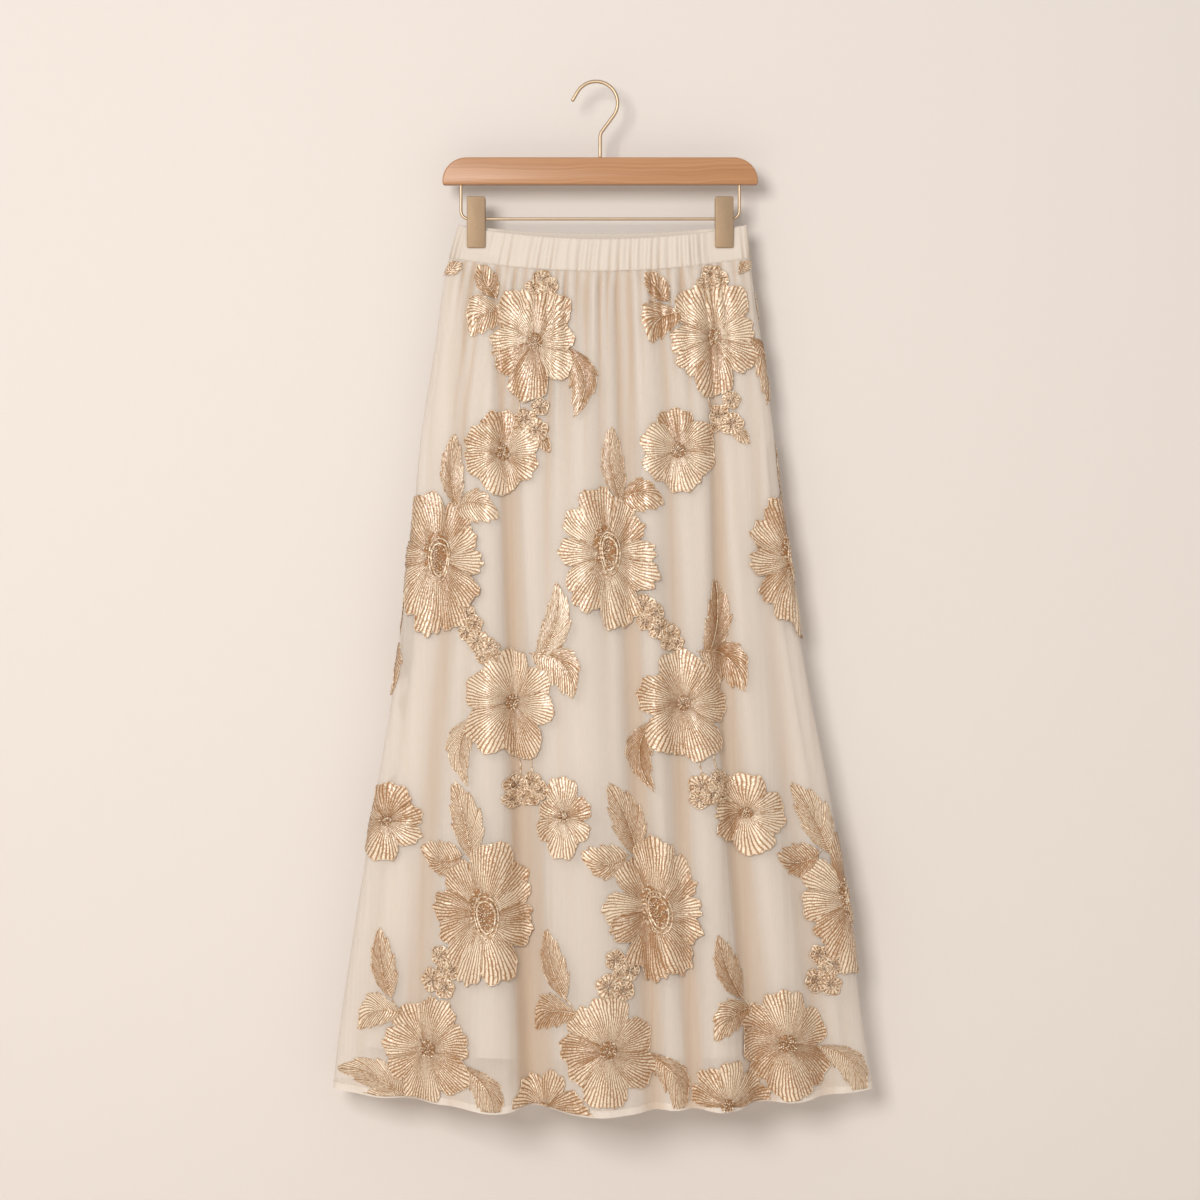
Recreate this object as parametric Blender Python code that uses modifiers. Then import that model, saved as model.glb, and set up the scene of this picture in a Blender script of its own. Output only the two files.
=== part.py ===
"""Maxi skirt of sheer gathered cloth over a lining, hung by its waistband from a wooden clip hanger.

Run with: blender --background --python part.py

Units are metres and +Z is up. The skirt's front faces -Y and its back is towards +Y. The origin is the
underside of the hook's arc, where the hanger rests on whatever holds it up. Each cloth panel is a thin
wall lofted through plan sections: a section is a flat oval, its size read from a short table, to which
folds and gathers are added.
"""
import math
from collections import namedtuple

import bmesh
import bpy
import numpy as np

MM = 0.001
COLLECTION = "maxi_skirt"

# ---------------------------------------------------------------- cloth sizes, in millimetres
GAP = 0.3                      # between pieces that touch
SKIRT_WALL = 1.4
LINING_WALL = 1.0
BAND_WALL = 2.6                # two layers of cloth with elastic between them

BAND_TOP = 158.5               # depth below the hook of the band's top edge, at the side seams
SEAM = 194.0                   # of the seam between band and skirt
SKIRT_HEM = 1112.6
LINING_HEM = 1063.0

# How far the middle of each edge hangs below its ends at the side seams.
Sag = namedtuple("Sag", "band_top seam skirt_hem lining_hem")
FRONT_SAG = Sag(band_top=16.6, seam=15.5, skirt_hem=18.0, lining_hem=15.0)
BACK_SAG = Sag(band_top=8.6, seam=8.0, skirt_hem=8.0, lining_hem=7.0)

# Plan sections of the outer cloth. depth is below the hook, left and right are the side seams' X, side_y
# their Y, end_radius the turn at each side, and front and back the bulge of each panel past that radius.
Section = namedtuple("Section", "depth left right side_y end_radius front back")
SECTIONS = (
    Section(158.5, -153.2, 167.6, 0.0, 3.4, 8.0, 6.5),
    Section(194.0, -163.2, 170.9, 0.0, 4.0, 8.5, 7.0),
    Section(292.8, -178.7, 184.3, -1.0, 6.5, 14.0, 9.0),
    Section(393.8, -194.3, 197.6, -2.0, 8.5, 20.0, 11.0),
    Section(477.1, -202.0, 206.5, -3.0, 9.5, 25.0, 13.0),
    Section(570.3, -212.0, 218.7, -4.0, 10.5, 31.0, 15.0),
    Section(684.6, -226.6, 238.4, -5.0, 11.5, 37.0, 17.0),
    Section(781.2, -242.8, 257.6, -6.0, 12.2, 42.0, 19.0),
    Section(873.3, -257.5, 272.0, -7.0, 12.8, 46.0, 20.0),
    Section(965.5, -272.0, 285.3, -8.0, 13.3, 50.0, 21.0),
    Section(1058.7, -285.3, 297.5, -8.5, 13.8, 53.0, 22.0),
    Section(1112.6, -290.8, 306.4, -9.0, 14.0, 54.0, 22.0),
)

# The lining hangs inside: inset is how far its side seams lie within the outer ones.
Lining = namedtuple("Lining", "depth inset end_radius front back")
LININGS = (
    Lining(194.0, 1.8, 2.0, 5.2, 3.6),
    Lining(230.0, 3.0, 2.4, 5.2, 3.0),
    Lining(300.0, 6.0, 3.2, 7.0, 2.8),
    Lining(570.0, 14.0, 7.0, 16.0, 4.0),
    Lining(1063.0, 26.0, 11.0, 25.0, 4.0),
)
BULGE_POWER = 1.25             # how fast a bulge rises from the side seams

# Folds: a ridge stands out of the cloth and a valley is negative. Each runs from the seam to the hem by
# way of a middle point, and its two flanks fall away over the widths on its left and right.
Fold = namedtuple("Fold", "x_seam x_middle x_hem out_seam out_middle out_hem left right")
FRONT_FOLDS = (
    Fold(-137, -190, -240, 0.0, 2.0, 4.0, 30, 32),
    Fold(-130, -172, -204, -0.2, -5.0, -9.0, 36, 34),
    Fold(-121, -118, -112, 0.5, 7.0, 13.0, 52, 32),
    Fold(-110, -90, -71, -0.4, -11.0, -22.0, 24, 50),
    Fold(-22, -10, 6, 0.4, 6.0, 11.0, 48, 46),
    Fold(29, 39, 68, -0.6, -8.0, -12.0, 28, 34),
    Fold(56, 66, 86, 0.3, 3.0, 3.0, 26, 22),
    Fold(84, 90, 106, -0.4, -4.0, -9.0, 28, 28),
    Fold(108, 116, 140, 0.5, 5.0, 11.0, 34, 32),
    Fold(130, 142, 181, -0.2, -9.0, -11.0, 26, 34),
    Fold(150, 170, 220, 0.3, 4.0, 6.0, 26, 30),
    Fold(158, 200, 256, 0.0, -3.0, -6.0, 26, 28),
)
BACK_FOLDS = (
    Fold(-142, -190, -242, -0.2, -3.0, -5.0, 34, 30),
    Fold(-118, -150, -190, 0.4, 3.0, 5.0, 34, 30),
    Fold(-84, -104, -128, -0.4, -6.0, -9.0, 30, 36),
    Fold(-48, -58, -70, 0.4, 4.0, 6.0, 34, 30),
    Fold(-8, -12, -20, -0.4, -5.0, -8.0, 34, 34),
    Fold(34, 42, 48, 0.4, 4.0, 6.0, 34, 36),
    Fold(70, 84, 112, -0.4, -6.0, -9.0, 36, 30),
    Fold(108, 132, 166, 0.4, 3.0, 6.0, 32, 34),
    Fold(140, 176, 224, -0.2, -4.0, -6.0, 32, 30),
)
HEM_DIP = 0.22                 # how far the hem drops under a ridge, as a share of the ridge

# Gathers: a peak and a trough for each, held by the seam and fading out below it.
GATHERS = 32                   # on each panel
GATHER_HEIGHT = 3.4            # of a peak above the troughs beside it
GATHER_FADE = (45.0, 120.0)    # shortest and longest
GATHER_TUCK = 0.6              # share of the height right under the seam, and the drop in which
GATHER_RISE = 15.0             # it grows to the whole
RUCHE_HEIGHT = 1.6             # of the puckers on the band
SIDE_COLUMNS = 4               # half-width columns at each side seam, where there are no gathers

# How far down a panel, as a share of its height, each row of points lies.
SKIRT_ROWS = (0.0, 0.018, 0.045, 0.08, 0.125, 0.18, 0.25, 0.33, 0.42, 0.52, 0.62, 0.72, 0.82, 0.91, 1.0)
LINING_ROWS = (0.0, 0.06, 0.15, 0.28, 0.46, 0.64, 0.82, 1.0)
BAND_ROWS = (0.0, 0.12, 0.42, 0.72, 1.0)
LINING_COLUMNS = 28
SECTION_POINTS = 401           # of the fine curve that the columns are spaced along

# ---------------------------------------------------------------- hanger sizes, in millimetres
HANGER_X = 4.6                 # centre line of the bar and of the hook's stem
BAR_LENGTH = 349.6
BAR_TOP = 83.0
BAR_HEIGHT = 30.0
BAR_THICKNESS = 13.0
BAR_SHOULDER = (27.0, 26.0)    # width and height of the rounded upper corners
BAR_FOOT_RADIUS = 2.0
BAR_BEVEL = 1.6

HOOK_WIRE = 4.0                # diameter
HOOK_RADIUS = 24.0             # of the arc's centre line
HOOK_TIP_ANGLE = 150.0         # where the arc gives way to the straight tip, from +X over the top
HOOK_NECK_ANGLE = -36.4        # where it gives way to the straight neck
HOOK_TIP_LENGTH = 11.8
HOOK_BEND_RADIUS = 11.0        # between neck and stem

ROD_WIRE = 3.3                 # diameter
ROD_DEPTH = 150.7              # of the level rod
ROD_HALF_SPAN = 154.5          # from the hanger's centre line to each post
ROD_BEND_RADIUS = 9.0

CLIP_OFFSET = 137.5            # of each clip from the hanger's centre line
CLIP_TOP = 126.4
CLIP_WIDTH = 20.4
CLIP_HEIGHT = 56.9
CLIP_THICKNESS = 2.4
CLIP_CORNER = 1.8
CLIP_BEVEL = 0.6
CLIP_PINCH = 0.15              # half the space left inside the band where it is clipped
PINCH_MARGIN = 6.0             # beyond the plate that the band stays flat
PINCH_REACH = 24.0             # beyond that, over which the band opens again
PINCH_SEAM = 0.15              # share of the pinch that is left at the seam
SPRING_LENGTH = 14.0
SPRING_RADIUS = 4.4
SPRING_STEPS = 16

# ---------------------------------------------------------------- finishes: colour, roughness, metallic
Finish = namedtuple("Finish", "color roughness metallic")
FINISHES = {
    "sheer_cloth": Finish((0.86, 0.78, 0.67), 0.75, 0.0),
    "lining_cloth": Finish((0.90, 0.84, 0.75), 0.60, 0.0),
    "band_cloth": Finish((0.88, 0.81, 0.71), 0.75, 0.0),
    "wood": Finish((0.58, 0.33, 0.17), 0.45, 0.0),
    "hook_metal": Finish((0.72, 0.60, 0.43), 0.28, 1.0),
    "clip_metal": Finish((0.66, 0.54, 0.38), 0.42, 1.0),
}


# ---------------------------------------------------------------- scene and materials
def clear_scene():
    """Remove whatever the file opened with."""
    for item in list(bpy.data.objects):
        bpy.data.objects.remove(item, do_unlink=True)


def make_collection(name):
    """Make a collection and link it to the scene."""
    collection = bpy.data.collections.new(name)
    bpy.context.scene.collection.children.link(collection)
    return collection


def make_material(name, finish):
    """Make a Principled material from a finish."""
    material = bpy.data.materials.new(name)
    material.use_nodes = True
    shader = material.node_tree.nodes["Principled BSDF"]
    shader.inputs["Base Color"].default_value = (*finish.color, 1.0)
    shader.inputs["Roughness"].default_value = finish.roughness
    shader.inputs["Metallic"].default_value = finish.metallic
    material.diffuse_color = (*finish.color, 1.0)
    return material


def add_object(name, data, finish, collection):
    """Link an object that holds data, with its own material."""
    item = bpy.data.objects.new(name, data)
    data.materials.append(make_material(f"{name}_{finish}", FINISHES[finish]))
    collection.objects.link(item)
    return item


# ---------------------------------------------------------------- plan sections
def smooth(stations, values, at):
    """Read a short table on a smooth curve through its rows."""
    stations = np.asarray(stations, dtype=float)
    values = np.asarray(values, dtype=float)
    slopes = np.gradient(values, stations)
    right = np.clip(np.searchsorted(stations, at), 1, len(stations) - 1)
    left = right - 1
    step = stations[right] - stations[left]
    share = np.clip((at - stations[left]) / step, 0.0, 1.0)
    ease = share * share * (3.0 - 2.0 * share)
    leave = share * (1.0 - share) ** 2 * step
    arrive = share * share * (share - 1.0) * step
    return values[left] * (1.0 - ease) + values[right] * ease + slopes[left] * leave + slopes[right] * arrive


def read(table, depth):
    """Read every column of a table at one depth below the hook."""
    stations = [row.depth for row in table]
    columns = {name: float(smooth(stations, [getattr(row, name) for row in table], depth))
               for name in table[0]._fields if name != "depth"}
    return type(table[0])(depth=depth, **columns)


def lining_section(depth):
    """Plan section of the lining, set inside the outer cloth's."""
    outer = read(SECTIONS, depth)
    inner = read(LININGS, depth)
    return outer._replace(left=outer.left + inner.inset, right=outer.right - inner.inset,
                          end_radius=inner.end_radius, front=inner.front, back=inner.back)


def plan_curve(section, side):
    """Fine curve of one panel from its left seam to its right: x, y and the outward normal.

    side is -1 for the front and +1 for the back.
    """
    half = (section.right - section.left) / 2.0
    middle = (section.right + section.left) / 2.0
    across = np.sin(np.linspace(-0.5, 0.5, SECTION_POINTS) * math.pi)
    inside = np.minimum(half * (1.0 - np.abs(across)), section.end_radius)
    turn = np.sqrt(section.end_radius ** 2 - (section.end_radius - inside) ** 2)
    bulge = section.front if side < 0 else section.back
    x = middle + half * across
    y = section.side_y + side * (turn + bulge * (1.0 - across ** 2) ** BULGE_POWER)
    run = np.hypot(np.gradient(x), np.gradient(y))
    normal_x = -side * np.gradient(y) / run
    normal_y = side * np.gradient(x) / run
    return x, y, normal_x, normal_y


def column_shares(columns, side_columns):
    """Where the columns stand across a panel, as shares of its run: uneven, and closer at the seams."""
    index = np.arange(columns)
    widths = 1.0 + 0.26 * np.sin(1.9 * index + 0.4) + 0.2 * np.sin(0.67 * index + 1.3)
    if side_columns:
        widths[:side_columns] = 0.5
        widths[-side_columns:] = 0.5
    places = np.concatenate([[0.0], np.cumsum(widths)])
    return places / places[-1]


def place_columns(section, side, shares):
    """Points and outward normals of a section at the given shares of its run."""
    x, y, normal_x, normal_y = plan_curve(section, side)
    run = np.concatenate([[0.0], np.cumsum(np.hypot(np.diff(x), np.diff(y)))])
    at = shares * run[-1]
    points = np.stack([np.interp(at, run, x), np.interp(at, run, y)], axis=1)
    normals = np.stack([np.interp(at, run, normal_x), np.interp(at, run, normal_y)], axis=1)
    normals[0] = (-1.0, 0.0)
    normals[-1] = (1.0, 0.0)
    return points, normals / np.linalg.norm(normals, axis=1)[:, None]


def across_share(points, section):
    """How far each point lies from the middle towards its side seam, from -1 to 1."""
    half = (section.right - section.left) / 2.0
    return (points[:, 0] - (section.right + section.left) / 2.0) / half


# ---------------------------------------------------------------- folds, gathers and ruches
def fold_height(folds, x, down):
    """How far the folds push the cloth out at each x, at a share down of the skirt's height."""
    height = np.zeros_like(x)
    for fold in folds:
        centre = smooth((0.0, 0.5, 1.0), (fold.x_seam, fold.x_middle, fold.x_hem), down)
        out = smooth((0.0, 0.5, 1.0), (fold.out_seam, fold.out_middle, fold.out_hem), down)
        spread = 0.45 + 0.55 * down
        reach = np.where(x < centre, fold.left, fold.right) * spread
        flank = np.clip(np.abs(x - centre) / reach, 0.0, 1.0)
        height += out * 0.5 * (1.0 + np.cos(math.pi * flank))
    return height


def gather_wave(columns, seed):
    """Heights of the gathers' peaks, up to 1, between troughs of 0; level at the side seams."""
    index = np.arange(columns + 1)
    size = 0.72 + 0.28 * np.sin(2.3 * index + seed)
    wave = np.where(index % 2 == 0, 0.0, 1.0) * size
    wave[:SIDE_COLUMNS] = 0.0
    wave[-SIDE_COLUMNS:] = 0.0
    return wave


def gather_reach(columns, seed):
    """How far below the seam each gather fades, in millimetres."""
    pair = np.arange(columns + 1) // 2
    share = 0.5 + 0.5 * np.sin(1.7 * pair + seed)
    return GATHER_FADE[0] + (GATHER_FADE[1] - GATHER_FADE[0]) * share


# ---------------------------------------------------------------- cloth walls
def wall_normals(points, normals):
    """Outward normals of a row after folding, in plan; the side seams keep theirs."""
    tangent = points[2:] - points[:-2]
    turned = np.stack([tangent[:, 1], -tangent[:, 0]], axis=1)
    turned /= np.linalg.norm(turned, axis=1)[:, None]
    facing = np.sign(np.sum(turned * normals[1:-1], axis=1))[:, None]
    return np.concatenate([normals[:1], turned * facing, normals[-1:]])


def wall_mesh(name, outer, inner):
    """Closed mesh of a wall between two equal grids of points, in millimetres."""
    rows, columns = outer.shape[:2]
    count = rows * columns
    points = np.concatenate([outer.reshape(count, 3), inner.reshape(count, 3)]) * MM

    def at(row, column, layer):
        return layer * count + row * columns + column

    faces = []
    for row in range(rows - 1):
        for column in range(columns - 1):
            for layer in (0, 1):
                faces.append((at(row, column, layer), at(row + 1, column, layer),
                              at(row + 1, column + 1, layer), at(row, column + 1, layer)))
        for column in (0, columns - 1):
            faces.append((at(row, column, 0), at(row, column, 1),
                          at(row + 1, column, 1), at(row + 1, column, 0)))
    for column in range(columns - 1):
        for row in (0, rows - 1):
            faces.append((at(row, column, 0), at(row, column + 1, 0),
                          at(row, column + 1, 1), at(row, column, 1)))
    mesh = bpy.data.meshes.new(name)
    mesh.from_pydata(points.tolist(), [], faces)
    face_outwards(mesh)
    mesh.shade_smooth()
    mesh.set_sharp_from_angle(angle=math.radians(50.0))
    return mesh


def face_outwards(mesh):
    """Turn every face of a closed mesh outwards."""
    shape = bmesh.new()
    shape.from_mesh(mesh)
    bmesh.ops.recalc_face_normals(shape, faces=shape.faces)
    shape.to_mesh(mesh)
    shape.free()


def part_at_seams(points, side):
    """Draw a panel's end columns back from the side seams by half the gap."""
    points[0, 1] += side * GAP / 2.0
    points[-1, 1] += side * GAP / 2.0
    return points


def row_points(plan, top, bottom, down, across, dip):
    """Raise a plan row to its height: edges sag between the side seams, and the hem dips under ridges."""
    middle = 1.0 - across ** 2
    upper = top[0] + top[1] * middle
    lower = bottom[0] + bottom[1] * middle + dip
    depth = upper + (lower - upper) * down
    return np.column_stack([plan, -depth])


def skirt_panel(name, side, folds, sag, seed):
    """Outer panel: gathered at the seam, folded below, in a wall of even thickness."""
    columns = 2 * GATHERS
    shares = column_shares(columns, SIDE_COLUMNS)
    wave = gather_wave(columns, seed)
    reach = gather_reach(columns, seed)
    outer = []
    inner = []
    for down in SKIRT_ROWS:
        section = read(SECTIONS, SEAM + (SKIRT_HEM - SEAM) * down)
        plan, normals = place_columns(section, side, shares)
        across = across_share(plan, section)
        below = (SKIRT_HEM - SEAM) * down
        calm = 1.0 - across ** 8
        folded = fold_height(folds, plan[:, 0], down) * calm
        tuck = GATHER_TUCK + (1.0 - GATHER_TUCK) * min(below / GATHER_RISE, 1.0)
        gathered = GATHER_HEIGHT * tuck * wave * np.exp(-(below / reach) ** 2)
        plan = part_at_seams(plan + normals * (folded + gathered)[:, None], side)
        inside = plan - wall_normals(plan, normals) * SKIRT_WALL
        top = (SEAM + GAP, sag.seam)
        bottom = (SKIRT_HEM, sag.skirt_hem)
        dip = HEM_DIP * folded * down ** 2
        outer.append(row_points(plan, top, bottom, down, across, dip))
        inner.append(row_points(inside, top, bottom, down, across, dip))
    return wall_mesh(name, np.array(outer), np.array(inner))


def lining_panel(name, side, sag):
    """Plain panel inside the skirt."""
    shares = column_shares(LINING_COLUMNS, SIDE_COLUMNS)
    outer = []
    inner = []
    for down in LINING_ROWS:
        depth = SEAM + (LINING_HEM - SEAM) * down
        plan, normals = place_columns(lining_section(depth), side, shares)
        across = across_share(plan, read(SECTIONS, depth))
        plan = part_at_seams(plan, side)
        inside = plan - wall_normals(plan, normals) * LINING_WALL
        top = (SEAM + GAP, sag.seam)
        bottom = (LINING_HEM, sag.lining_hem)
        outer.append(row_points(plan, top, bottom, down, across, 0.0))
        inner.append(row_points(inside, top, bottom, down, across, 0.0))
    return wall_mesh(name, np.array(outer), np.array(inner))


def pinch_share(x):
    """How firmly the clips hold the band at each x, from 0 to 1."""
    share = np.zeros_like(x)
    for hand in (-1, 1):
        beyond = np.abs(x - (HANGER_X + hand * CLIP_OFFSET)) - CLIP_WIDTH / 2.0 - PINCH_MARGIN
        flank = np.clip(beyond / PINCH_REACH, 0.0, 1.0)
        share = np.maximum(share, 0.5 * (1.0 + np.cos(math.pi * flank)))
    return share


def band_panel(name, side, sag, seed):
    """Half of the waistband: puckered outside, plain inside, and pinched flat under the clips."""
    columns = 2 * GATHERS
    shares = column_shares(columns, SIDE_COLUMNS)
    wave = gather_wave(columns, seed)
    clipped = BAND_WALL + CLIP_PINCH
    outer = []
    inner = []
    for down in BAND_ROWS:
        section = read(SECTIONS, BAND_TOP + (SEAM - BAND_TOP) * down)
        plan, normals = place_columns(section, side, shares)
        across = across_share(plan, section)
        hold = pinch_share(plan[:, 0])
        grip = hold * np.interp(down, (BAND_ROWS[-2], 1.0), (1.0, PINCH_SEAM))
        inward = np.abs(plan[:, 1] - section.side_y) > clipped
        plan[:, 1] = np.where(inward, plan[:, 1] * (1.0 - grip) + side * clipped * grip, plan[:, 1])
        plan = part_at_seams(plan, side)
        inside = plan - wall_normals(plan, normals) * BAND_WALL
        puckered = RUCHE_HEIGHT * wave * (1.0 - hold) * (0.45 + 0.55 * math.sin(math.pi * down))
        plan = plan + normals * puckered[:, None]
        top = (BAND_TOP, sag.band_top)
        bottom = (SEAM, sag.seam)
        outer.append(row_points(plan, top, bottom, down, across, 0.0))
        inner.append(row_points(inside, top, bottom, down, across, 0.0))
    return wall_mesh(name, np.array(outer), np.array(inner))


# ---------------------------------------------------------------- hanger
def arc_points(centre, radius, start, end, steps):
    """Points of an arc in the XZ plane; angles in degrees from +X towards +Z."""
    angles = np.radians(np.linspace(start, end, steps + 1))
    return [(centre[0] + radius * math.cos(a), centre[1] + radius * math.sin(a)) for a in angles]


def wire(name, route, diameter, finish, collection):
    """Round wire along a route of (x, z) points in millimetres, in the plane y = 0."""
    curve = bpy.data.curves.new(name, "CURVE")
    curve.dimensions = "3D"
    curve.bevel_depth = diameter / 2.0 * MM
    curve.bevel_resolution = 2
    curve.use_fill_caps = True
    spline = curve.splines.new("POLY")
    spline.points.add(len(route) - 1)
    for point, (x, z) in zip(spline.points, route):
        point.co = (x * MM, 0.0, z * MM, 1.0)
    spline.use_smooth = True
    return add_object(name, curve, finish, collection)


def standing_plate(name, outline, thickness, bevel, finish, collection):
    """Flat plate from an outline of (x, z) points in millimetres, standing upright, edges rounded."""
    curve = bpy.data.curves.new(name, "CURVE")
    curve.dimensions = "2D"
    curve.fill_mode = "BOTH"
    curve.extrude = thickness / 2.0 * MM
    spline = curve.splines.new("POLY")
    spline.points.add(len(outline) - 1)
    for point, (x, z) in zip(spline.points, outline):
        point.co = (x * MM, z * MM, 0.0, 1.0)
    spline.use_cyclic_u = True
    plate = add_object(name, curve, finish, collection)
    plate.rotation_euler = (math.radians(90.0), 0.0, 0.0)
    weld = plate.modifiers.new("Weld", "WELD")
    weld.merge_threshold = 0.00005
    edges = plate.modifiers.new("Bevel", "BEVEL")
    edges.width = bevel * MM
    edges.segments = 2
    edges.limit_method = "ANGLE"
    edges.angle_limit = math.radians(50.0)
    return plate


def hanger_bar(collection):
    """Wooden bar: flat below, with broad rounded shoulders above."""
    half = BAR_LENGTH / 2.0
    wide, tall = BAR_SHOULDER
    foot = BAR_FOOT_RADIUS
    top = -BAR_TOP
    low = top - BAR_HEIGHT
    right = [(half - foot, low), (half, low + foot)]
    for angle in np.radians(np.linspace(0.0, 90.0, 9)):
        right.append((half - wide + wide * math.cos(angle), top - tall + tall * math.sin(angle)))
    outline = right + [(-x, z) for x, z in reversed(right)]
    outline = [(HANGER_X + x, z) for x, z in outline]
    return standing_plate("hanger_bar", outline, BAR_THICKNESS, BAR_BEVEL, "wood", collection)


def hanger_hook(collection):
    """Wire hook: straight tip, open arc, slanting neck and a stem down to the bar."""
    centre = (0.0, HOOK_WIRE / 2.0 - HOOK_RADIUS)
    arc = arc_points(centre, HOOK_RADIUS, HOOK_TIP_ANGLE, HOOK_NECK_ANGLE, 20)
    tip_turn = math.radians(HOOK_TIP_ANGLE)
    tip = (arc[0][0] - HOOK_TIP_LENGTH * math.sin(tip_turn),
           arc[0][1] + HOOK_TIP_LENGTH * math.cos(tip_turn))
    slant = math.radians(HOOK_NECK_ANGLE)
    neck = (math.sin(slant), -math.cos(slant))
    reach = HOOK_BEND_RADIUS * (1.0 - math.cos(slant))
    length = (arc[-1][0] - HANGER_X - reach) / -neck[0]
    bend_start = (arc[-1][0] + neck[0] * length, arc[-1][1] + neck[1] * length)
    bend_centre = (HANGER_X + HOOK_BEND_RADIUS, bend_start[1] + HOOK_BEND_RADIUS * math.sin(slant))
    bend = arc_points(bend_centre, HOOK_BEND_RADIUS, 180.0 + HOOK_NECK_ANGLE, 180.0, 5)
    stem = (HANGER_X, -BAR_TOP + GAP)
    return wire("hanger_hook", [tip] + arc + bend + [stem], HOOK_WIRE, "hook_metal", collection)


def hanger_rod(collection):
    """U-shaped wire: two posts from the bar's underside and the level rod that carries the clips."""
    left = HANGER_X - ROD_HALF_SPAN
    right = HANGER_X + ROD_HALF_SPAN
    start = -BAR_TOP - BAR_HEIGHT - GAP
    bend = -ROD_DEPTH + ROD_BEND_RADIUS
    turn_left = arc_points((left + ROD_BEND_RADIUS, bend), ROD_BEND_RADIUS, 180.0, 270.0, 6)
    turn_right = arc_points((right - ROD_BEND_RADIUS, bend), ROD_BEND_RADIUS, 270.0, 360.0, 6)
    route = [(left, start)] + turn_left + turn_right + [(right, start)]
    return wire("hanger_rod", route, ROD_WIRE, "hook_metal", collection)


def clip_plate(name, x, side, collection):
    """One clip plate, leaning from the pinched band out past the spring."""
    half = CLIP_WIDTH / 2.0 - CLIP_CORNER
    tall = CLIP_HEIGHT / 2.0 - CLIP_CORNER
    outline = []
    for corner_x, corner_z, start in ((half, tall, 0), (-half, tall, 90), (-half, -tall, 180), (half, -tall, 270)):
        outline += arc_points((corner_x, corner_z), CLIP_CORNER, start, start + 90, 3)
    plate = standing_plate(name, outline, CLIP_THICKNESS, CLIP_BEVEL, "clip_metal", collection)
    jaw = BAND_WALL + CLIP_PINCH + GAP
    at_rod = SPRING_RADIUS + GAP
    lean = math.atan2(at_rod - jaw, CLIP_TOP + CLIP_HEIGHT - ROD_DEPTH)
    middle = jaw + math.sin(lean) * CLIP_HEIGHT / 2.0 + CLIP_THICKNESS / 2.0
    plate.location = (x * MM, side * middle * MM, -(CLIP_TOP + CLIP_HEIGHT / 2.0) * MM)
    plate.rotation_euler = (math.radians(90.0) - side * lean, 0.0, 0.0)
    return plate


def clip_spring(name, x, collection):
    """Spring barrel round the rod, between a clip's two plates."""
    half = SPRING_LENGTH / 2.0 * MM
    bore = (ROD_WIRE / 2.0 + GAP) * MM
    rim = SPRING_RADIUS * MM
    mesh = bpy.data.meshes.new(name)
    profile = [(rim, 0.0, half), (rim, 0.0, -half), (bore, 0.0, -half), (bore, 0.0, half)]
    mesh.from_pydata(profile, [(0, 1), (1, 2), (2, 3), (3, 0)], [])
    barrel = add_object(name, mesh, "hook_metal", collection)
    turn = barrel.modifiers.new("Screw", "SCREW")
    turn.steps = SPRING_STEPS
    turn.render_steps = SPRING_STEPS
    turn.use_merge_vertices = True
    turn.merge_threshold = 0.00001
    turn.use_smooth_shade = False
    barrel.rotation_euler = (0.0, math.radians(90.0), 0.0)
    barrel.location = (x * MM, 0.0, -ROD_DEPTH * MM)
    return barrel


# ---------------------------------------------------------------- assembly
def build_skirt(collection):
    """The six cloth pieces."""
    for label, side, folds, sag, seed in (("front", -1, FRONT_FOLDS, FRONT_SAG, 0.7),
                                          ("back", 1, BACK_FOLDS, BACK_SAG, 2.9)):
        skirt = skirt_panel(f"skirt_{label}", side, folds, sag, seed)
        add_object(f"skirt_{label}", skirt, "sheer_cloth", collection)
        lining = lining_panel(f"lining_{label}", side, sag)
        add_object(f"lining_{label}", lining, "lining_cloth", collection)
        band = band_panel(f"waistband_{label}", side, sag, seed)
        add_object(f"waistband_{label}", band, "band_cloth", collection)


def build_hanger(collection):
    """Bar, hook, rod and two spring clips."""
    hanger_bar(collection)
    hanger_hook(collection)
    hanger_rod(collection)
    for hand, label in ((-1, "left"), (1, "right")):
        x = HANGER_X + hand * CLIP_OFFSET
        clip_plate(f"clip_{label}_front", x, -1, collection)
        clip_plate(f"clip_{label}_back", x, 1, collection)
        clip_spring(f"clip_{label}_spring", x, collection)


def main():
    """Build the skirt on its hanger."""
    clear_scene()
    collection = make_collection(COLLECTION)
    build_skirt(collection)
    build_hanger(collection)


main()
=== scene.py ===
"""Looks of an embroidered maxi skirt on a wooden clip hanger.

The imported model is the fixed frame: +Z is up, the skirt's front faces -Y and the origin is the underside
of the hook's arc. Cloth sizes are in millimetres and repeat the ones the solids were made from; meshes are
in metres.
"""
from __future__ import annotations

import logging
from collections.abc import Iterator
from contextlib import contextmanager
from dataclasses import dataclass, field
from enum import Enum
from functools import cached_property
from math import atan2, cos, pi, radians, sin, sqrt
from typing import NamedTuple

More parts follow.
